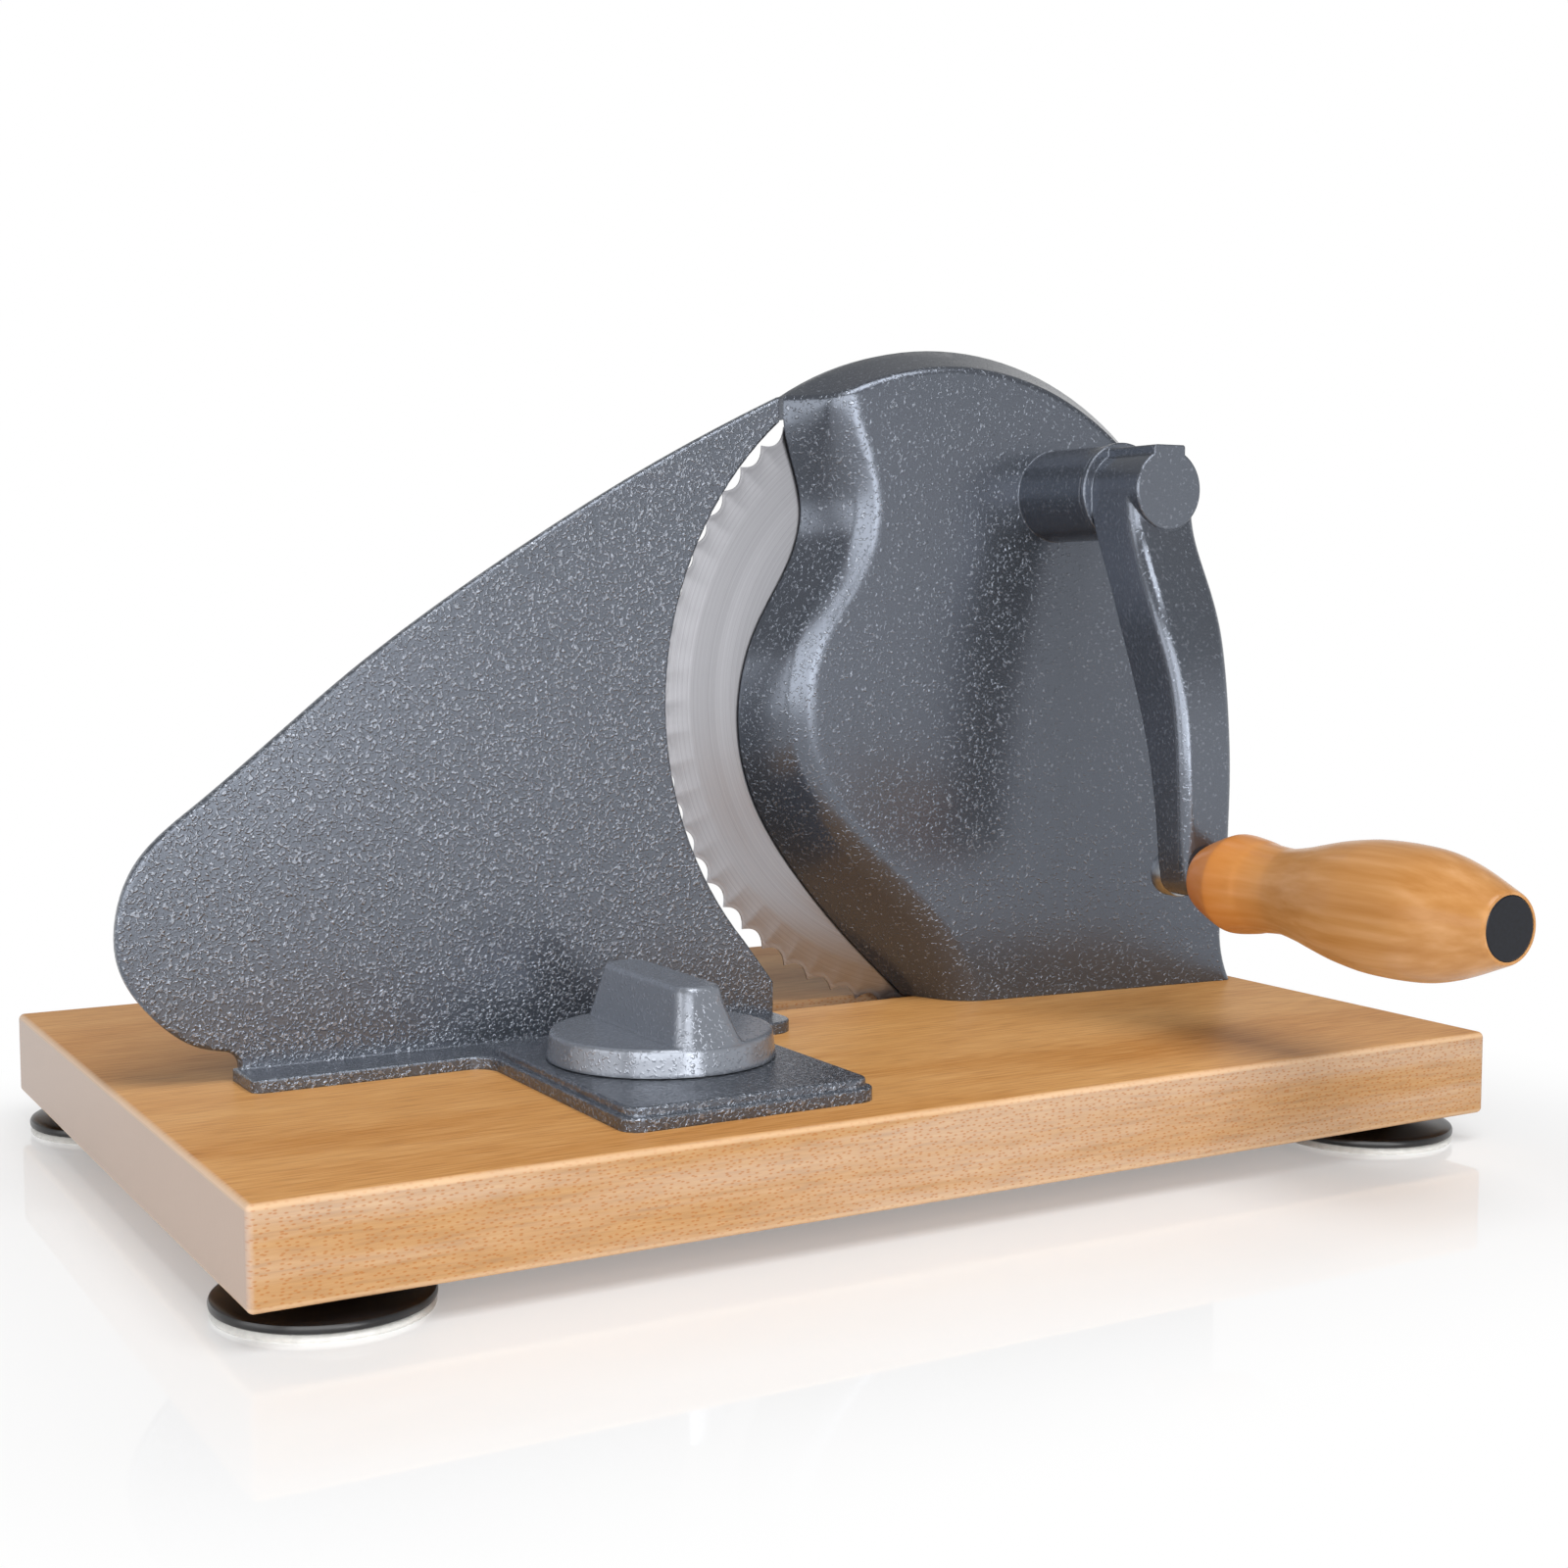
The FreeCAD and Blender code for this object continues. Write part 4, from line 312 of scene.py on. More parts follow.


# The second, paler colour of each enamel is a painted highlight on its raised strokes.
FINISH_MAKERS = {
    "plate_enamel": (hammered_enamel, {
        "name": "hammered_enamel_plate", "ground": "#646972", "glint_colour": "#898e97",
        "relief_mm": 0.2, "start": 0.54}),
    "housing_enamel": (hammered_enamel, {
        "name": "hammered_enamel_housing", "ground": "#5d626b", "glint_colour": "#7a7f88",
        "relief_mm": 0.1, "start": 0.62, "roughness": 0.22}),
    "crank_enamel": (hammered_enamel, {
        "name": "hammered_enamel_crank", "ground": "#636871", "glint_colour": "#7c818b",
        "relief_mm": 0.04, "start": 0.62, "roughness": 0.2}),
    # The knob's enamel is a lighter copy of the same paint. Its lighter grey is painted light for the knob's
    # brightly lit faces.
    "knob_enamel": (hammered_enamel, {
        "name": "hammered_enamel_knob_lit_copy", "ground": "#858a93", "glint_colour": "#8f949d",
        "relief_mm": 0.07, "start": 0.6, "swell_mm": 1.0, "metal": 0.55, "film_mm": 1.2, "roughness": 0.18}),
    "board_beech": (board_beech, {}),
    "grip_beech": (grip_beech, {}),
    "blade": (brushed_blade, {}),
    "steel": (machined_metal, {
        "name": "turned_steel", "colours": ("#a9a9ad", "#b9b9bd"), "grain_mm": 0.8, "roughness": 0.25}),
    "zinc": (machined_metal, {
        "name": "zinc_plated_steel", "colours": ("#a5a8ab", "#bcbfc2"), "grain_mm": 1.2, "roughness": 0.35}),
    "bronze": (machined_metal, {
        "name": "bearing_bronze", "colours": ("#9c7440", "#ac8450"), "grain_mm": 1.0, "roughness": 0.4}),
    "black_rubber": (moulded, {
        "name": "moulded_black_rubber", "colours": ("#0d0d0f", "#141416"),
        "grain_mm": 1.5, "depth_mm": 0.02, "roughness": 0.28, "ior": 1.52}),
    "pale_lip": (moulded, {
        "name": "soft_clear_vinyl", "colours": ("#d2d1cd", "#dddcd8"),
        "grain_mm": 2.0, "depth_mm": 0.02, "roughness": 0.3, "ior": 1.5}),
    "cap_plastic": (moulded, {
        "name": "gloss_abs_cap", "colours": ("#080a12", "#0e111a"),
        "grain_mm": 1.0, "depth_mm": 0.01, "roughness": 0.3, "ior": 1.38}),
    "nylon": (moulded, {
        "name": "natural_nylon", "colours": ("#d8d4c6", "#e2dfd3"),
        "grain_mm": 1.5, "depth_mm": 0.03, "roughness": 0.45, "ior": 1.53}),
    "acetal": (moulded, {
        "name": "black_acetal", "colours": ("#121214", "#18181a"),
        "grain_mm": 1.5, "depth_mm": 0.03, "roughness": 0.35, "ior": 1.48}),
}
FINISHES = {}


def finish_named(name):
    """Each finish is made once and shared by the pieces that have it."""
    if name not in FINISHES:
        maker, values = FINISH_MAKERS[name]
        FINISHES[name] = maker(**values)
    return FINISHES[name]


# ---------------------------------------------------------------- making pieces

# Degrees that two neighbouring facets may turn before the edge between them is crisp.
FINE_EDGE = 24.0            # the board and the gears, which have the bluntest edges
CASTING_EDGE = 30.0
PLAIN_EDGE = 32.0
TURNED_EDGE = 34.0

SOLID_WELD = 2e-6           # points closer than this, in metres, become one
TURNED_WELD = 1e-6
SLIVER = 1e-7


def piece_from(mesh, name, body, replaced):
    """Puts a finished mesh in the scene as a piece that rides on a body."""
    mesh.name = name
    made = bpy.data.objects.new(name, mesh)
    bpy.context.scene.collection.objects.link(made)
    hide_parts(*replaced)
    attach(made, body)
    return made


def close_shading(work, mesh, edge_limit):
    """Marks each edge smooth or crisp, smooths all faces and writes the work back to its mesh."""
    limit = math.radians(edge_limit)
    for edge in work.edges:
        edge.smooth = len(edge.link_faces) == 2 and edge.calc_face_angle(0.0) < limit
    for face in work.faces:
        face.smooth = True
    work.to_mesh(mesh)
    work.free()


def smooth_copy(node_name, name, body, finish, edge_limit=PLAIN_EDGE):
    """The solid's own shape with shared points and smooth curved faces between its crisp edges."""
    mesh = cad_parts[node_name].data.copy()
    work = bmesh.new()
    work.from_mesh(mesh)
    bmesh.ops.remove_doubles(work, verts=work.verts, dist=SOLID_WELD)
    bmesh.ops.dissolve_degenerate(work, edges=work.edges, dist=SLIVER)
    close_shading(work, mesh, edge_limit)
    mesh.materials.clear()
    mesh.materials.append(finish_named(finish))
    made = piece_from(mesh, name, body, (node_name,))
    made.modifiers.new("even faces", "WEIGHTED_NORMAL").keep_sharp = True


def input_id(tree, label):
    """Identifier of a tree's named input."""
    return next(item.identifier for item in tree.interface.items_tree
                if item.item_type == "SOCKET" and item.in_out == "INPUT" and item.name == label)


def new_tree(name, inputs):
    """Geometry tree with a geometry in and out and named inputs."""
    tree = bpy.data.node_groups.new(name, "GeometryNodeTree")
    tree.interface.new_socket("Geometry", in_out="INPUT", socket_type="NodeSocketGeometry")
    for label, kind, value in inputs:
        socket = tree.interface.new_socket(label, in_out="INPUT", socket_type=kind)
        if value is not None:
            socket.default_value = value
    tree.interface.new_socket("Geometry", in_out="OUTPUT", socket_type="NodeSocketGeometry")
    return tree, add(tree, "NodeGroupInput").outputs


def turned_tree():
    """Turns a profile of points (radius in X, height in Z) about Z, and sets copies out in rows or a ring.

    The rim may be scalloped: the hollows have the tooth depth at the tooth reach, and fade out inward to the
    tooth foot.
    """
    tree, given = new_tree("Turned piece", [
        ("Segments", "NodeSocketInt", 96), ("Points", "NodeSocketInt", 2), ("Teeth", "NodeSocketInt", 0),
        ("Tooth Depth", "NodeSocketFloat", 0.0), ("Tooth Foot", "NodeSocketFloat", 1.0),
        ("Tooth Reach", "NodeSocketFloat", 1.0), ("Columns", "NodeSocketInt", 1),
        ("Rows", "NodeSocketInt", 1), ("Column Gap", "NodeSocketFloat", 0.0),
        ("Row Gap", "NodeSocketFloat", 0.0), ("Around", "NodeSocketInt", 1),
        ("Ring Radius", "NodeSocketFloat", 0.0), ("Finish", "NodeSocketMaterial", None)])

    # A grid with a row for each profile point and a column for each step of the turn.
    grid = add(tree, "GeometryNodeMeshGrid", {"Vertices X": given["Segments"], "Vertices Y": given["Points"]})
    index = add(tree, "GeometryNodeInputIndex").outputs[0]
    row = add(tree, "ShaderNodeMath", {0: index, 1: given["Points"]}, operation="MODULO")
    share = add(tree, "ShaderNodeMath", {0: index, 1: given["Points"]}, operation="DIVIDE")
    column = add(tree, "ShaderNodeMath", {0: share.outputs[0]}, operation="FLOOR")
    last = add(tree, "ShaderNodeMath", {0: given["Segments"], 1: 1.0}, operation="SUBTRACT")
    turn = add(tree, "ShaderNodeMath", {0: column.outputs[0], 1: last.outputs[0]}, operation="DIVIDE")
    angle = add(tree, "ShaderNodeMath", {0: turn.outputs[0], 1: math.tau}, operation="MULTIPLY")
    position = add(tree, "GeometryNodeInputPosition").outputs[0]
    sample = add(tree, "GeometryNodeSampleIndex", {
        "Geometry": given["Geometry"], "Value": position, "Index": row.outputs[0]}, data_type="FLOAT_VECTOR")
    profile = add(tree, "ShaderNodeSeparateXYZ", {"Vector": sample.outputs[0]})

    # Each hollow is a parabola between two points of the rim.
    lobe = add(tree, "ShaderNodeMath", {0: turn.outputs[0], 1: given["Teeth"]}, operation="MULTIPLY")
    wrapped = add(tree, "ShaderNodeMath", {0: lobe.outputs[0]}, operation="FRACT")
    centred = add(tree, "ShaderNodeMath", {0: wrapped.outputs[0], 1: 0.5}, operation="SUBTRACT")
    doubled = add(tree, "ShaderNodeMath", {0: centred.outputs[0], 1: 2.0}, operation="MULTIPLY")
    square = add(tree, "ShaderNodeMath", {0: doubled.outputs[0], 1: doubled.outputs[0]}, operation="MULTIPLY")
    hollow = add(tree, "ShaderNodeMath", {0: 1.0, 1: square.outputs[0]}, operation="SUBTRACT")
    rim = add(tree, "ShaderNodeMapRange", {
        "Value": profile.outputs["X"], "From Min": given["Tooth Foot"], "From Max": given["Tooth Reach"]})
    cut = add(tree, "ShaderNodeMath", {0: hollow.outputs[0], 1: rim.outputs[0]}, operation="MULTIPLY")
    depth = add(tree, "ShaderNodeMath", {0: cut.outputs[0], 1: given["Tooth Depth"]}, operation="MULTIPLY")
    radius = add(tree, "ShaderNodeMath", {0: profile.outputs["X"], 1: depth.outputs[0]}, operation="SUBTRACT")

    cosine = add(tree, "ShaderNodeMath", {0: angle.outputs[0]}, operation="COSINE")
    sine = add(tree, "ShaderNodeMath", {0: angle.outputs[0]}, operation="SINE")
    x = add(tree, "ShaderNodeMath", {0: radius.outputs[0], 1: cosine.outputs[0]}, operation="MULTIPLY")
    y = add(tree, "ShaderNodeMath", {0: radius.outputs[0], 1: sine.outputs[0]}, operation="MULTIPLY")
    place = add(tree, "ShaderNodeCombineXYZ", {
        "X": x.outputs[0], "Y": y.outputs[0], "Z": profile.outputs["Z"]})
    shaped = add(tree, "GeometryNodeSetPosition", {
        "Geometry": grid.outputs["Mesh"], "Position": place.outputs[0]})
    turned = add(tree, "GeometryNodeMergeByDistance", {
        "Geometry": shaped.outputs[0], "Distance": TURNED_WELD})

    # The points for the copies: a line of columns, rows from each of them, and a ring about each of those.
    across = add(tree, "ShaderNodeCombineXYZ", {"X": given["Column Gap"]})
    along = add(tree, "ShaderNodeCombineXYZ", {"Y": given["Row Gap"]})
    columns = add(tree, "GeometryNodeMeshLine", {"Count": given["Columns"], "Offset": across.outputs[0]})
    rows = add(tree, "GeometryNodeMeshLine", {"Count": given["Rows"], "Offset": along.outputs[0]})
    ring = add(tree, "GeometryNodeMeshLine", {"Count": given["Around"], "Offset": (0, 0, 0)})
    part = add(tree, "ShaderNodeMath", {0: index, 1: given["Around"]}, operation="DIVIDE")
    bearing = add(tree, "ShaderNodeMath", {0: part.outputs[0], 1: math.tau}, operation="MULTIPLY")
    east = add(tree, "ShaderNodeMath", {0: bearing.outputs[0]}, operation="COSINE")
    north = add(tree, "ShaderNodeMath", {0: bearing.outputs[0]}, operation="SINE")
    spoke = add(tree, "ShaderNodeCombineXYZ", {"X": east.outputs[0], "Y": north.outputs[0]})
    reach = add(tree, "ShaderNodeVectorMath", {0: spoke.outputs[0], "Scale": given["Ring Radius"]},
                operation="SCALE")
    ring = add(tree, "GeometryNodeSetPosition", {"Geometry": ring.outputs[0], "Position": reach.outputs[0]})
    field = columns
    for copied in (rows, ring, turned):
        copies = add(tree, "GeometryNodeInstanceOnPoints", {
            "Points": field.outputs[0], "Instance": copied.outputs[0]})
        field = add(tree, "GeometryNodeRealizeInstances", {"Geometry": copies.outputs[0]})
    dressed = add(tree, "GeometryNodeSetMaterial", {
        "Geometry": field.outputs[0], "Material": given["Finish"]})
    add(tree, "NodeGroupOutput", {"Geometry": dressed.outputs[0]})
    return tree


def turned_mesh(profile_mm, finish, segments, **rule):
    """Mesh turned from (radius, height) in millimetres about Z; rule sets the tree's other named inputs."""
    tree = bpy.data.node_groups.get("Turned piece") or turned_tree()
    mesh = bpy.data.meshes.new("profile")
    mesh.from_pydata([(r * MM, 0.0, h * MM) for r, h in profile_mm], [], [])
    holder = bpy.data.objects.new("profile", mesh)
    bpy.context.scene.collection.objects.link(holder)
    modifier = holder.modifiers.new("turned", "NODES")
    modifier.node_group = tree
    values = {"Segments": segments + 1, "Points": len(profile_mm), "Finish": finish_named(finish)}
    values.update((label.replace("_", " ").title(), value) for label, value in rule.items())
    for label, value in values.items():
        modifier[input_id(tree, label)] = value
    graph = bpy.context.evaluated_depsgraph_get()
    made = bpy.data.meshes.new_from_object(holder.evaluated_get(graph))
    bpy.data.objects.remove(holder)
    work = bmesh.new()
    work.from_mesh(made)
    bmesh.ops.remove_doubles(work, verts=work.verts, dist=TURNED_WELD)
    bmesh.ops.recalc_face_normals(work, faces=work.faces)
    close_shading(work, made, TURNED_EDGE)
    return made


def smooth_line(points, steps=6):
    """Catmull-Rom line through (radius, height) points."""
    line = []
    ends = [points[0], *points, points[-1]]
    for a, b, c, d in zip(ends, ends[1:], ends[2:], ends[3:]):
        for i in range(steps):
            t = i / steps
            line.append(tuple(0.5 * (2 * q + (r - p) * t + (2 * p - 5 * q + 4 * r - s) * t * t
                                     + (3 * q - p - 3 * r + s) * t ** 3) for p, q, r, s in zip(a, b, c, d)))
    return line + [points[-1]]


# ---------------------------------------------------------------- sizes a user would change

class SlicerFinishSettings(bpy.types.PropertyGroup):
    """Sizes and colours that a user would change"""
    blade_teeth: bpy.props.IntProperty(
        name="Blade points", description="Points round the blade's edge", default=65, min=8)
    scallop_depth: bpy.props.FloatProperty(
        name="Scallop depth", description="Depth of the hollow between two points", default=0.0027,
        unit="LENGTH", subtype="DISTANCE")
    floor_size: bpy.props.FloatProperty(
        name="Floor size", description="Width of the floor", default=12.0, unit="LENGTH", subtype="DISTANCE")
    lens: bpy.props.FloatProperty(
        name="Lens", description="Focal length in millimetres on a 36 mm wide sensor", default=50.30)
    floor_colour: bpy.props.FloatVectorProperty(
        name="Floor colour", description="Colour of the plain floor", default=(0.9, 0.9, 0.9),
        subtype="COLOR", size=3, min=0.0, max=1.0)


# ---------------------------------------------------------------- pieces
# Profiles are in millimetres, as (radius, height) along the piece's own axis.

TO_FAR_SIDE = Matrix.Rotation(math.radians(-90), 4, "X")    # lays a turned piece's height along +Y
TO_NEAR_SIDE = Matrix.Rotation(math.radians(90), 4, "X")    # and along -Y


class SLICER_OT_board(bpy.types.Operator):
    """Beech board with its blade groove"""
    bl_idname = "slicer.board"
    bl_label = "Board"

    def execute(self, context):
        smooth_copy("base_board", "board", "base", "board_beech", FINE_EDGE)
        return {"FINISHED"}


FOOT_CORNERS = ("front_left", "front_right", "back_left", "back_right")
NECK_RADIUS = 7.0           # top of the cone, under the board
SHANK_RADIUS = 4.0
SHANK_LENGTH = 12.0         # inside the board
LIP_INSET = 0.2             # from the disc's rim: the lip is wider than the solid's, so that it shows


class SLICER_OT_feet(bpy.types.Operator):
    """Four turned rubber feet, each with a pale lip on the table"""
    bl_idname = "slicer.feet"
    bl_label = "Suction feet"

    def execute(self, context):
        first, last = middle("foot_disc_front_left"), middle("foot_disc_back_right")
        low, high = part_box("foot_disc_front_left")
        radius = (high.x - low.x) / 2 / MM
        base, board = low.z / MM, BOARD_LOW.z / MM
        rim = [(0, base), (radius - 0.5, base), (radius - 0.1, base + 0.3), (radius, base + 0.8),
               (radius, base + 1.3), (radius - 0.3, base + 1.9)]
        cone = smooth_line([(radius - 1.0, base + 2.2), (radius * 0.5, base + 3.1),
                            (NECK_RADIUS + 1.2, base + 4.3), (NECK_RADIUS, board)])
        shank_top = board + SHANK_LENGTH
        shank = [(SHANK_RADIUS, board), (SHANK_RADIUS, shank_top - 1.0), (SHANK_RADIUS - 1.0, shank_top),
                 (0, shank_top)]
        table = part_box("suction_cup_front_left")[0].z / MM
        edge = radius - LIP_INSET
        lip = [(0, base), (edge - 1.2, base), (edge - 0.5, base - 0.5), (edge, table + 0.5),
               (edge - 0.2, table), (edge - 1.8, table), (edge - 3.0, table + 0.5), (edge - 4.8, table + 0.8),
               (0, table + 1.0)]
        rule = {"columns": 2, "rows": 2, "column_gap": last.x - first.x, "row_gap": last.y - first.y}
        for name, profile, slot, finish, node in (
                ("feet", rim + cone + shank, "foot_black", "black_rubber", "foot_disc_"),
                ("lips", lip, "cup_pale", "pale_lip", "suction_cup_")):
            mesh = turned_mesh(profile, finish, segments=72, **rule)
            mesh.transform(Matrix.Translation((first.x, first.y, 0)))
            piece_from(mesh, name, "base", [node + corner for corner in FOOT_CORNERS])
        return {"FINISHED"}


class SLICER_OT_housing(bpy.types.Operator):
    """Cast housing with its ramp, ridge and crank boss"""
    bl_idname = "slicer.housing"
    bl_label = "Gear housing"

    def execute(self, context):
        smooth_copy("gear_housing", "housing", "base", "housing_enamel", CASTING_EDGE)
        return {"FINISHED"}


BORE_RADIUS = 8.0
TOOTH_FOOT = 86.0           # radius at which the hollows of the edge begin
STEPS_PER_TOOTH = 12
RIVETS = 6
RIVET_RING_RADIUS = 30.0
RIVET_HEAD_RADIUS = 3.8
RIVET_SHANK_RADIUS = 2.0


class SLICER_OT_blade(bpy.types.Operator):
    """Scalloped round blade and the parts that carry it"""
    bl_idname = "slicer.blade"
    bl_label = "Blade"

    def execute(self, context):
        settings = context.scene.slicer_finish
        low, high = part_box("slicing_blade")
        centre = (low + high) / 2
        radius = (high.x - low.x) / 2 / MM
        near = (high.y - low.y) / 2 / MM
        far = -near
        # The near side is ground thinner in a soft step 72 to 79 mm out, and slopes on to the edge.
        ground = [(BORE_RADIUS, near), (72.0, near), (74.0, near - 0.04), (77.0, near - 0.21),
                  (79.0, near - 0.25), (85.6, near - 0.25), (TOOTH_FOOT, near - 0.27), (90.0, near - 0.45),
                  (radius, near - 0.66)]
        back = [(radius, far + 0.02), (radius - 0.3, far), (60.0, far), (BORE_RADIUS, far),
                (BORE_RADIUS, near)]
        mesh = turned_mesh(ground + back, "blade", segments=settings.blade_teeth * STEPS_PER_TOOTH,
                           teeth=settings.blade_teeth, tooth_depth=settings.scallop_depth,
                           tooth_foot=TOOTH_FOOT * MM, tooth_reach=radius * MM)
        half_pitch = Matrix.Rotation(math.pi / settings.blade_teeth, 4, "Y")
        mesh.transform(Matrix.Translation(centre) @ half_pitch @ TO_NEAR_SIDE)
        piece_from(mesh, "blade", "blade", ("slicing_blade",))

        start, end = (v.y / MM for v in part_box("blade_rivets"))
        face = high.y / MM
        head = RIVET_HEAD_RADIUS
        rivet = [(0, start), (head - 0.2, start), (head, start + 0.2), (head, start + 1.0),
                 (RIVET_SHANK_RADIUS, start + 1.0), (RIVET_SHANK_RADIUS, face), (head, face)]
        rivet += smooth_line([(head, face + 0.3), (head - 0.4, end - 0.35), (head - 1.6, end - 0.08),
                              (0, end)])
        mesh = turned_mesh([(r, -y) for r, y in rivet], "zinc", segments=36, around=RIVETS,
                           ring_radius=RIVET_RING_RADIUS * MM)
        mesh.transform(Matrix.Translation((centre.x, 0, centre.z)) @ TO_NEAR_SIDE)
        piece_from(mesh, "blade_rivet_set", "blade", ("blade_rivets",))
        smooth_copy("blade_gear", "gear_wheel", "blade", "nylon", FINE_EDGE)
        smooth_copy("hub_bush", "gear_bush", "blade", "bronze")
        smooth_copy("blade_lock_screw", "lock_screw", "base", "steel")
        smooth_copy("blade_axle", "axle", "base", "steel")
        smooth_copy("thrust_washer", "axle_washer", "base", "bronze")
        return {"FINISHED"}


SOLID_HEAD_LENGTH = 3.8     # how far the solid's riveted head stands behind the arm's eye
PIN_RADIUS = 3.5
HEAD_RADIUS = 6.5           # the head is drawn larger than the solid's
HEAD_LENGTH = 8.0


class SLICER_OT_crank(bpy.types.Operator):
    """Crank arm with its hub, shaft, pinion, bush and the grip's spindle"""
    bl_idname = "slicer.crank"
    bl_label = "Crank"

    def execute(self, context):
        smooth_copy("crank_arm", "crank", "crank", "crank_enamel", CASTING_EDGE)
        smooth_copy("crank_shaft", "shaft", "crank", "steel")
        smooth_copy("drive_pinion", "pinion", "crank", "steel", FINE_EDGE)
        smooth_copy("shaft_clip", "clip", "crank", "zinc")
        smooth_copy("hub_set_screw", "set_screw", "crank", "steel")
        smooth_copy("crank_bush", "shaft_bush", "base", "bronze")
        low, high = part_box("handle_spindle")
        tip, eye = low.y / MM, high.y / MM - SOLID_HEAD_LENGTH
        pin = [(0, tip), (PIN_RADIUS, tip), (PIN_RADIUS, eye)]
        head = [(HEAD_RADIUS - 0.2, eye), (HEAD_RADIUS, eye + 0.3), (HEAD_RADIUS, eye + 4.8)]
        dome = smooth_line([(HEAD_RADIUS - 0.3, eye + 6.0), (HEAD_RADIUS - 1.3, eye + 7.1),
                            (HEAD_RADIUS - 3.3, eye + 7.8), (0, eye + HEAD_LENGTH)])
        mesh = turned_mesh(pin + head + dome, "zinc", segments=48)
        centre = (low + high) / 2
        mesh.transform(Matrix.Translation((centre.x, 0, centre.z)) @ TO_FAR_SIDE)
        piece_from(mesh, "spindle", "crank", ("handle_spindle",))
        smooth_copy("spindle_washer", "grip_washer", "crank", "zinc")
        smooth_copy("spindle_nut", "grip_nut", "crank", "zinc")
        return {"FINISHED"}


# Points of the grip's outline: place along it, counted from the board's near edge to the arm, and radius.
GRIP_PROFILE = [(34.9, 9.1), (31.9, 10.5), (25.0, 13.0), (21.7, 13.5), (15.0, 12.65), (11.5, 11.94),
                (5.0, 11.47), (1.3, 11.73), (-5.0, 12.86), (-8.9, 13.77), (-15.0, 15.13), (-19.1, 15.89),
                (-25.0, 16.68), (-29.3, 17.01), (-35.0, 17.1), (-39.5, 17.0), (-45.0, 16.65), (-49.7, 15.95),
                (-55.0, 14.58), (-59.9, 12.88), (-65.0, 10.87), (-69.4, 9.1)]
ARM_END = 34.8              # the grip's flat end at the arm
ARM_END_RADIUS = 8.4
CAP_END = -70.0
CAP_SEAT = -69.3            # floor of the shallow seat for the cap
CAP_RADIUS = 8.0
GRIP_BORE_RADIUS = 3.6


class SLICER_OT_handle(bpy.types.Operator):
    """Turned beech grip and its end cap"""
    bl_idname = "slicer.handle"
    bl_label = "Handle"

    def execute(self, context):
        centre = middle("handle_grip")
        outside = smooth_line([(r, y) for y, r in GRIP_PROFILE])
        seat = [(CAP_RADIUS + 0.7, CAP_END), (CAP_RADIUS, CAP_END), (CAP_RADIUS, CAP_SEAT),
                (GRIP_BORE_RADIUS, CAP_SEAT), (GRIP_BORE_RADIUS, ARM_END)]
        profile = [(GRIP_BORE_RADIUS, ARM_END), (ARM_END_RADIUS, ARM_END), *outside, *seat]
        mesh = turned_mesh([(r, min(y, ARM_END)) for r, y in profile], "grip_beech", segments=96)
        mesh.transform(Matrix.Translation((centre.x, BENCH.y, centre.z)) @ TO_FAR_SIDE)
        piece_from(mesh, "grip", "grip", ("handle_grip",))
        smooth_copy("handle_end_cap", "grip_cap", "grip", "cap_plastic")
        return {"FINISHED"}


class SLICER_OT_stop_plate(bpy.types.Operator):
    """Stop plate with its tongue, keys and follower pin"""
    bl_idname = "slicer.stop_plate"
    bl_label = "Stop plate"

    def execute(self, context):
        smooth_copy("stop_plate", "stop_plate_casting", "fence", "plate_enamel", CASTING_EDGE)
        smooth_copy("follower_pin", "follower", "fence", "steel")
        smooth_copy("guide_keys", "keys", "fence", "nylon")
        smooth_copy("key_screws", "key_screw_set", "fence", "zinc")
        return {"FINISHED"}


class SLICER_OT_knob(bpy.types.Operator):
    """Knob, scroll disc and pivot, and the screws that hold the housing"""
    bl_idname = "slicer.knob"
    bl_label = "Adjusting knob"

    def execute(self, context):
        smooth_copy("adjusting_knob", "knob_casting", "knob", "knob_enamel", CASTING_EDGE)
        smooth_copy("scroll_disc", "scroll", "knob", "acetal")
        smooth_copy("pivot_screw", "pivot", "base", "steel")
        smooth_copy("pivot_nut", "pivot_tee_nut", "base", "zinc")
        smooth_copy("housing_screws", "housing_screw_set", "base", "zinc")
        return {"FINISHED"}


# ---------------------------------------------------------------- stage

LAMPS = (       # name, place, width, height, all in metres, and watts
    ("key_softbox", (-0.68, -1.17, 0.44), 1.35, 0.75, 11.6),
    ("top_softbox", (0.0, -0.50, 1.05), 0.7, 0.7, 9.4),
    ("front_card", (0.05, -1.34, 0.20), 0.4, 0.35, 2.6),
    ("left_card", (-1.3, -0.15, 0.35), 0.8, 0.6, 3.3),
)
LAMP_TARGET = Vector((0.0, 0.0, 0.08))

MIRROR_PATCH = (0.16, 0.10, 0.0)    # half size of the floor's part that mirrors most, in metres
MIRROR_FADE = 0.12                  # width over which the mirroring fades out beyond it, in metres
PATCH_WHITE = 0.3                   # share of plain white in the patch

FILL_LIGHT = 0.2
MIRRORED_SKY = 0.34                 # strength of the white that gloss mirrors from overhead
SKY_START, SKY_END = 0.05, 0.5      # upward part of a direction, where that white starts and ends dimming

CAMERA_PLACE = (-120.07, -426.42, 121.58)           # millimetres from the board's near left top corner
CAMERA_FORWARD = (0.49532, 0.86447, -0.08571)
CAMERA_RIGHT = (0.86763, -0.49722, -0.00088)
SENSOR_WIDTH = 36.0


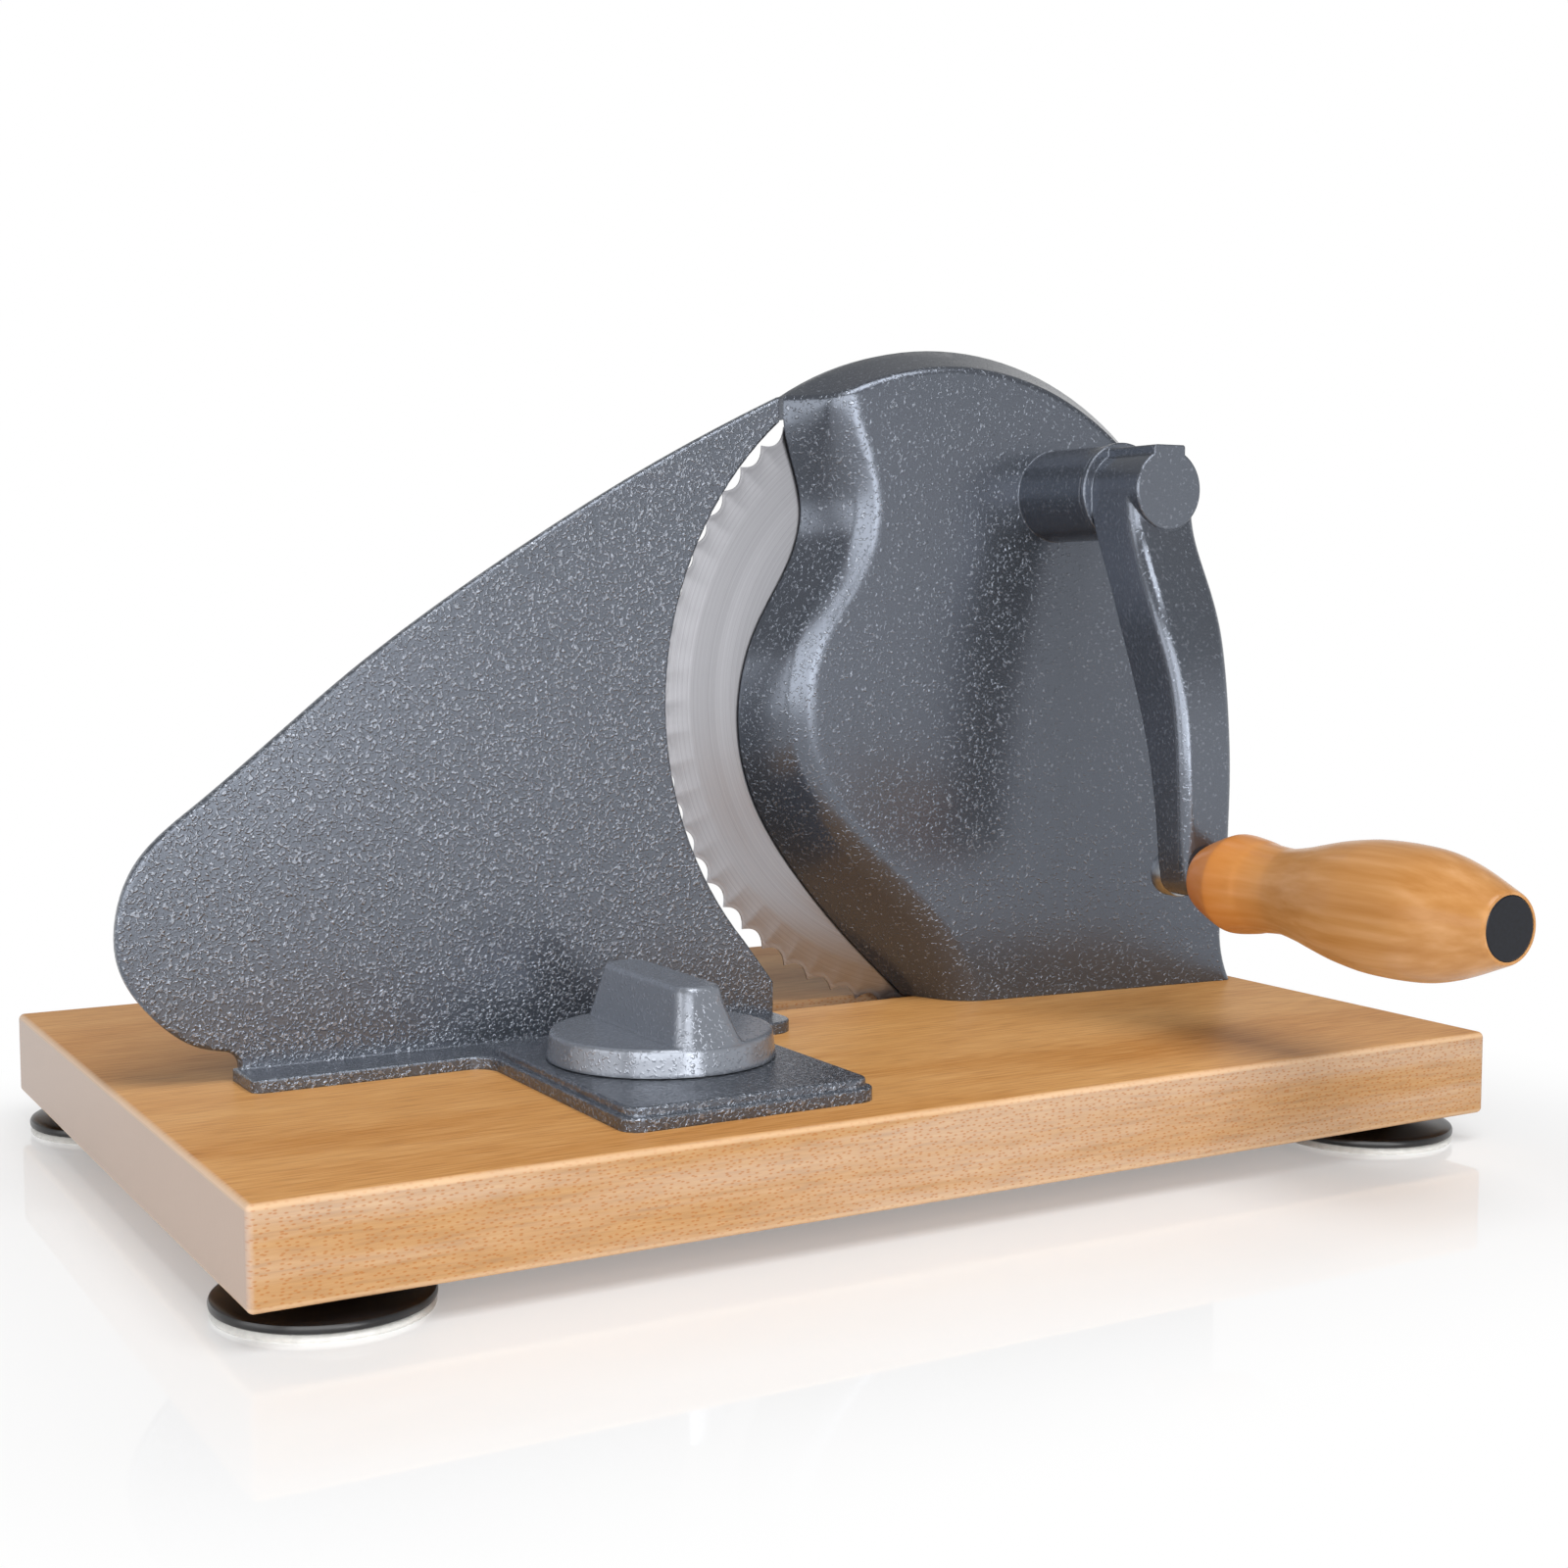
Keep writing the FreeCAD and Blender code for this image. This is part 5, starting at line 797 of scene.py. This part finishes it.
class SLICER_OT_stage(bpy.types.Operator):
    """Plain floor, soft lamps, world and camera"""
    bl_idname = "slicer.stage"
    bl_label = "Stage"

    def execute(self, context):
        settings = context.scene.slicer_finish
        scene = context.scene
        scene.view_settings.view_transform = "Standard"
        half = settings.floor_size / 2
        mesh = bpy.data.meshes.new("floor")
        mesh.from_pydata([(-half, -half, 0), (half, -half, 0), (half, half, 0), (-half, half, 0)], [],
                         [(0, 1, 2, 3)])
        floor = bpy.data.objects.new("floor", mesh)
        scene.collection.objects.link(floor)
        mesh.materials.append(self.floor_finish(settings))
        self.world(scene)
        for lamp in LAMPS:
            self.lamp(scene, *lamp)
        self.camera(scene, settings)
        return {"FINISHED"}

    def floor_finish(self, settings):
        """Polished white board: mirrors the object faintly and fades to plain white away from it."""
        finish, tree, coordinates = new_finish("polished_white_floor")
        shader = add(tree, "ShaderNodeBsdfPrincipled", {
            "Base Color": (*settings.floor_colour, 1.0), "Roughness": 0.03, "IOR": 2.0})
        path = add(tree, "ShaderNodeLightPath").outputs
        direct = add(tree, "ShaderNodeMath", {0: path["Is Camera Ray"], 1: path["Is Glossy Ray"]},
                     operation="MAXIMUM")
        seen = add(tree, "ShaderNodeMath", {0: direct.outputs[0], 1: path["Is Transmission Ray"]},
                   operation="MAXIMUM")
        folded = add(tree, "ShaderNodeVectorMath", {0: coordinates["Object"]}, operation="ABSOLUTE")
        past = add(tree, "ShaderNodeVectorMath", {0: folded.outputs[0], 1: MIRROR_PATCH},
                   operation="SUBTRACT")
        outside = add(tree, "ShaderNodeVectorMath", {0: past.outputs[0], 1: (0, 0, 0)}, operation="MAXIMUM")
        away = add(tree, "ShaderNodeVectorMath", {0: outside.outputs[0]}, operation="LENGTH")
        fade = add(tree, "ShaderNodeMapRange", {
            "Value": away.outputs["Value"], "From Max": MIRROR_FADE, "To Min": PATCH_WHITE},
            interpolation_type="SMOOTHSTEP")
        share = add(tree, "ShaderNodeMath", {0: fade.outputs[0], 1: seen.outputs[0]}, operation="MULTIPLY")
        white = add(tree, "ShaderNodeEmission", {"Color": (1, 1, 1, 1), "Strength": 1.0})
        both = add(tree, "ShaderNodeMixShader", {
            0: share.outputs[0], 1: shader.outputs[0], 2: white.outputs[0]})
        add(tree, "ShaderNodeOutputMaterial", {"Surface": both.outputs[0]})
        return finish

    def world(self, scene):
        """White background, mirrored by gloss near the horizon and dim overhead; a low even fill light."""
        world = bpy.data.worlds.new("studio")
        scene.world = world
        world.use_nodes = True
        tree = world.node_tree
        tree.nodes.clear()
        path = add(tree, "ShaderNodeLightPath").outputs
        direction = add(tree, "ShaderNodeTexCoord").outputs["Generated"]
        up = add(tree, "ShaderNodeSeparateXYZ", {"Vector": direction}).outputs["Z"]
        mirrored = add(tree, "ShaderNodeMapRange", {
            "Value": up, "From Min": SKY_START, "From Max": SKY_END, "To Min": 1.0, "To Max": MIRRORED_SKY},
            interpolation_type="SMOOTHSTEP")
        indirect = add(tree, "ShaderNodeMix", {
            "Factor": path["Is Glossy Ray"], NUMBER_A: FILL_LIGHT, NUMBER_B: mirrored.outputs[0]})
        seen = add(tree, "ShaderNodeMath", {0: path["Is Camera Ray"], 1: path["Is Transmission Ray"]},
                   operation="MAXIMUM")
        level = add(tree, "ShaderNodeMix", {
            "Factor": seen.outputs[0], NUMBER_A: indirect.outputs["Result"], NUMBER_B: 1.0})
        lit = add(tree, "ShaderNodeBackground", {"Color": (1, 1, 1, 1), "Strength": level.outputs["Result"]})
        add(tree, "ShaderNodeOutputWorld", {"Surface": lit.outputs[0]})

    def lamp(self, scene, name, place, width, height, power):
        """Soft rectangular lamp aimed at the object, which the camera doesn't see."""
        data = bpy.data.lights.new(name, "AREA")
        data.shape = "RECTANGLE"
        data.size = width
        data.size_y = height
        data.energy = power
        lamp = bpy.data.objects.new(name, data)
        lamp.location = place
        lamp.visible_camera = False
        aim = LAMP_TARGET - Vector(place)
        lamp.rotation_euler = aim.to_track_quat("-Z", "Y").to_euler()
        scene.collection.objects.link(lamp)

    def camera(self, scene, settings):
        """Camera from its place, the way it looks and its right-hand side."""
        data = bpy.data.cameras.new("camera")
        data.sensor_width = SENSOR_WIDTH
        data.lens = settings.lens
        data.clip_start, data.clip_end = 0.01, 50.0
        camera = bpy.data.objects.new("camera", data)
        scene.collection.objects.link(camera)
        forward = Vector(CAMERA_FORWARD).normalized()
        up = Vector(CAMERA_RIGHT).normalized().cross(forward).normalized()
        right = forward.cross(up)
        turn = Matrix((right, up, -forward)).transposed().to_4x4()
        camera.matrix_world = Matrix.Translation(at(*CAMERA_PLACE)) @ turn
        scene.camera = camera


PIECES = (SLICER_OT_board, SLICER_OT_feet, SLICER_OT_housing, SLICER_OT_blade, SLICER_OT_crank,
          SLICER_OT_handle, SLICER_OT_stop_plate, SLICER_OT_knob, SLICER_OT_stage)


class SLICER_PT_panel(bpy.types.Panel):
    """Lists the slicer's pieces"""
    bl_idname = "SLICER_PT_panel"
    bl_label = "Bread slicer"
    bl_space_type = "VIEW_3D"
    bl_region_type = "UI"
    bl_category = "Bread slicer"

    def draw(self, context):
        for label in SlicerFinishSettings.__annotations__:
            self.layout.prop(context.scene.slicer_finish, label)
        for operator in PIECES:
            self.layout.operator(operator.bl_idname)


CLASSES = (SlicerFinishSettings, *PIECES, SLICER_PT_panel)


def register():
    for cls in CLASSES:
        bpy.utils.register_class(cls)
    bpy.types.Scene.slicer_finish = bpy.props.PointerProperty(type=SlicerFinishSettings)


def unregister():
    del bpy.types.Scene.slicer_finish
    for cls in reversed(CLASSES):
        bpy.utils.unregister_class(cls)


def main():
    register()
    bpy.ops.slicer.board()
    bpy.ops.slicer.feet()
    bpy.ops.slicer.housing()
    bpy.ops.slicer.blade()
    bpy.ops.slicer.crank()
    bpy.ops.slicer.handle()
    bpy.ops.slicer.stop_plate()
    bpy.ops.slicer.knob()
    bpy.ops.slicer.stage()


if __name__ == "__main__":
    main()
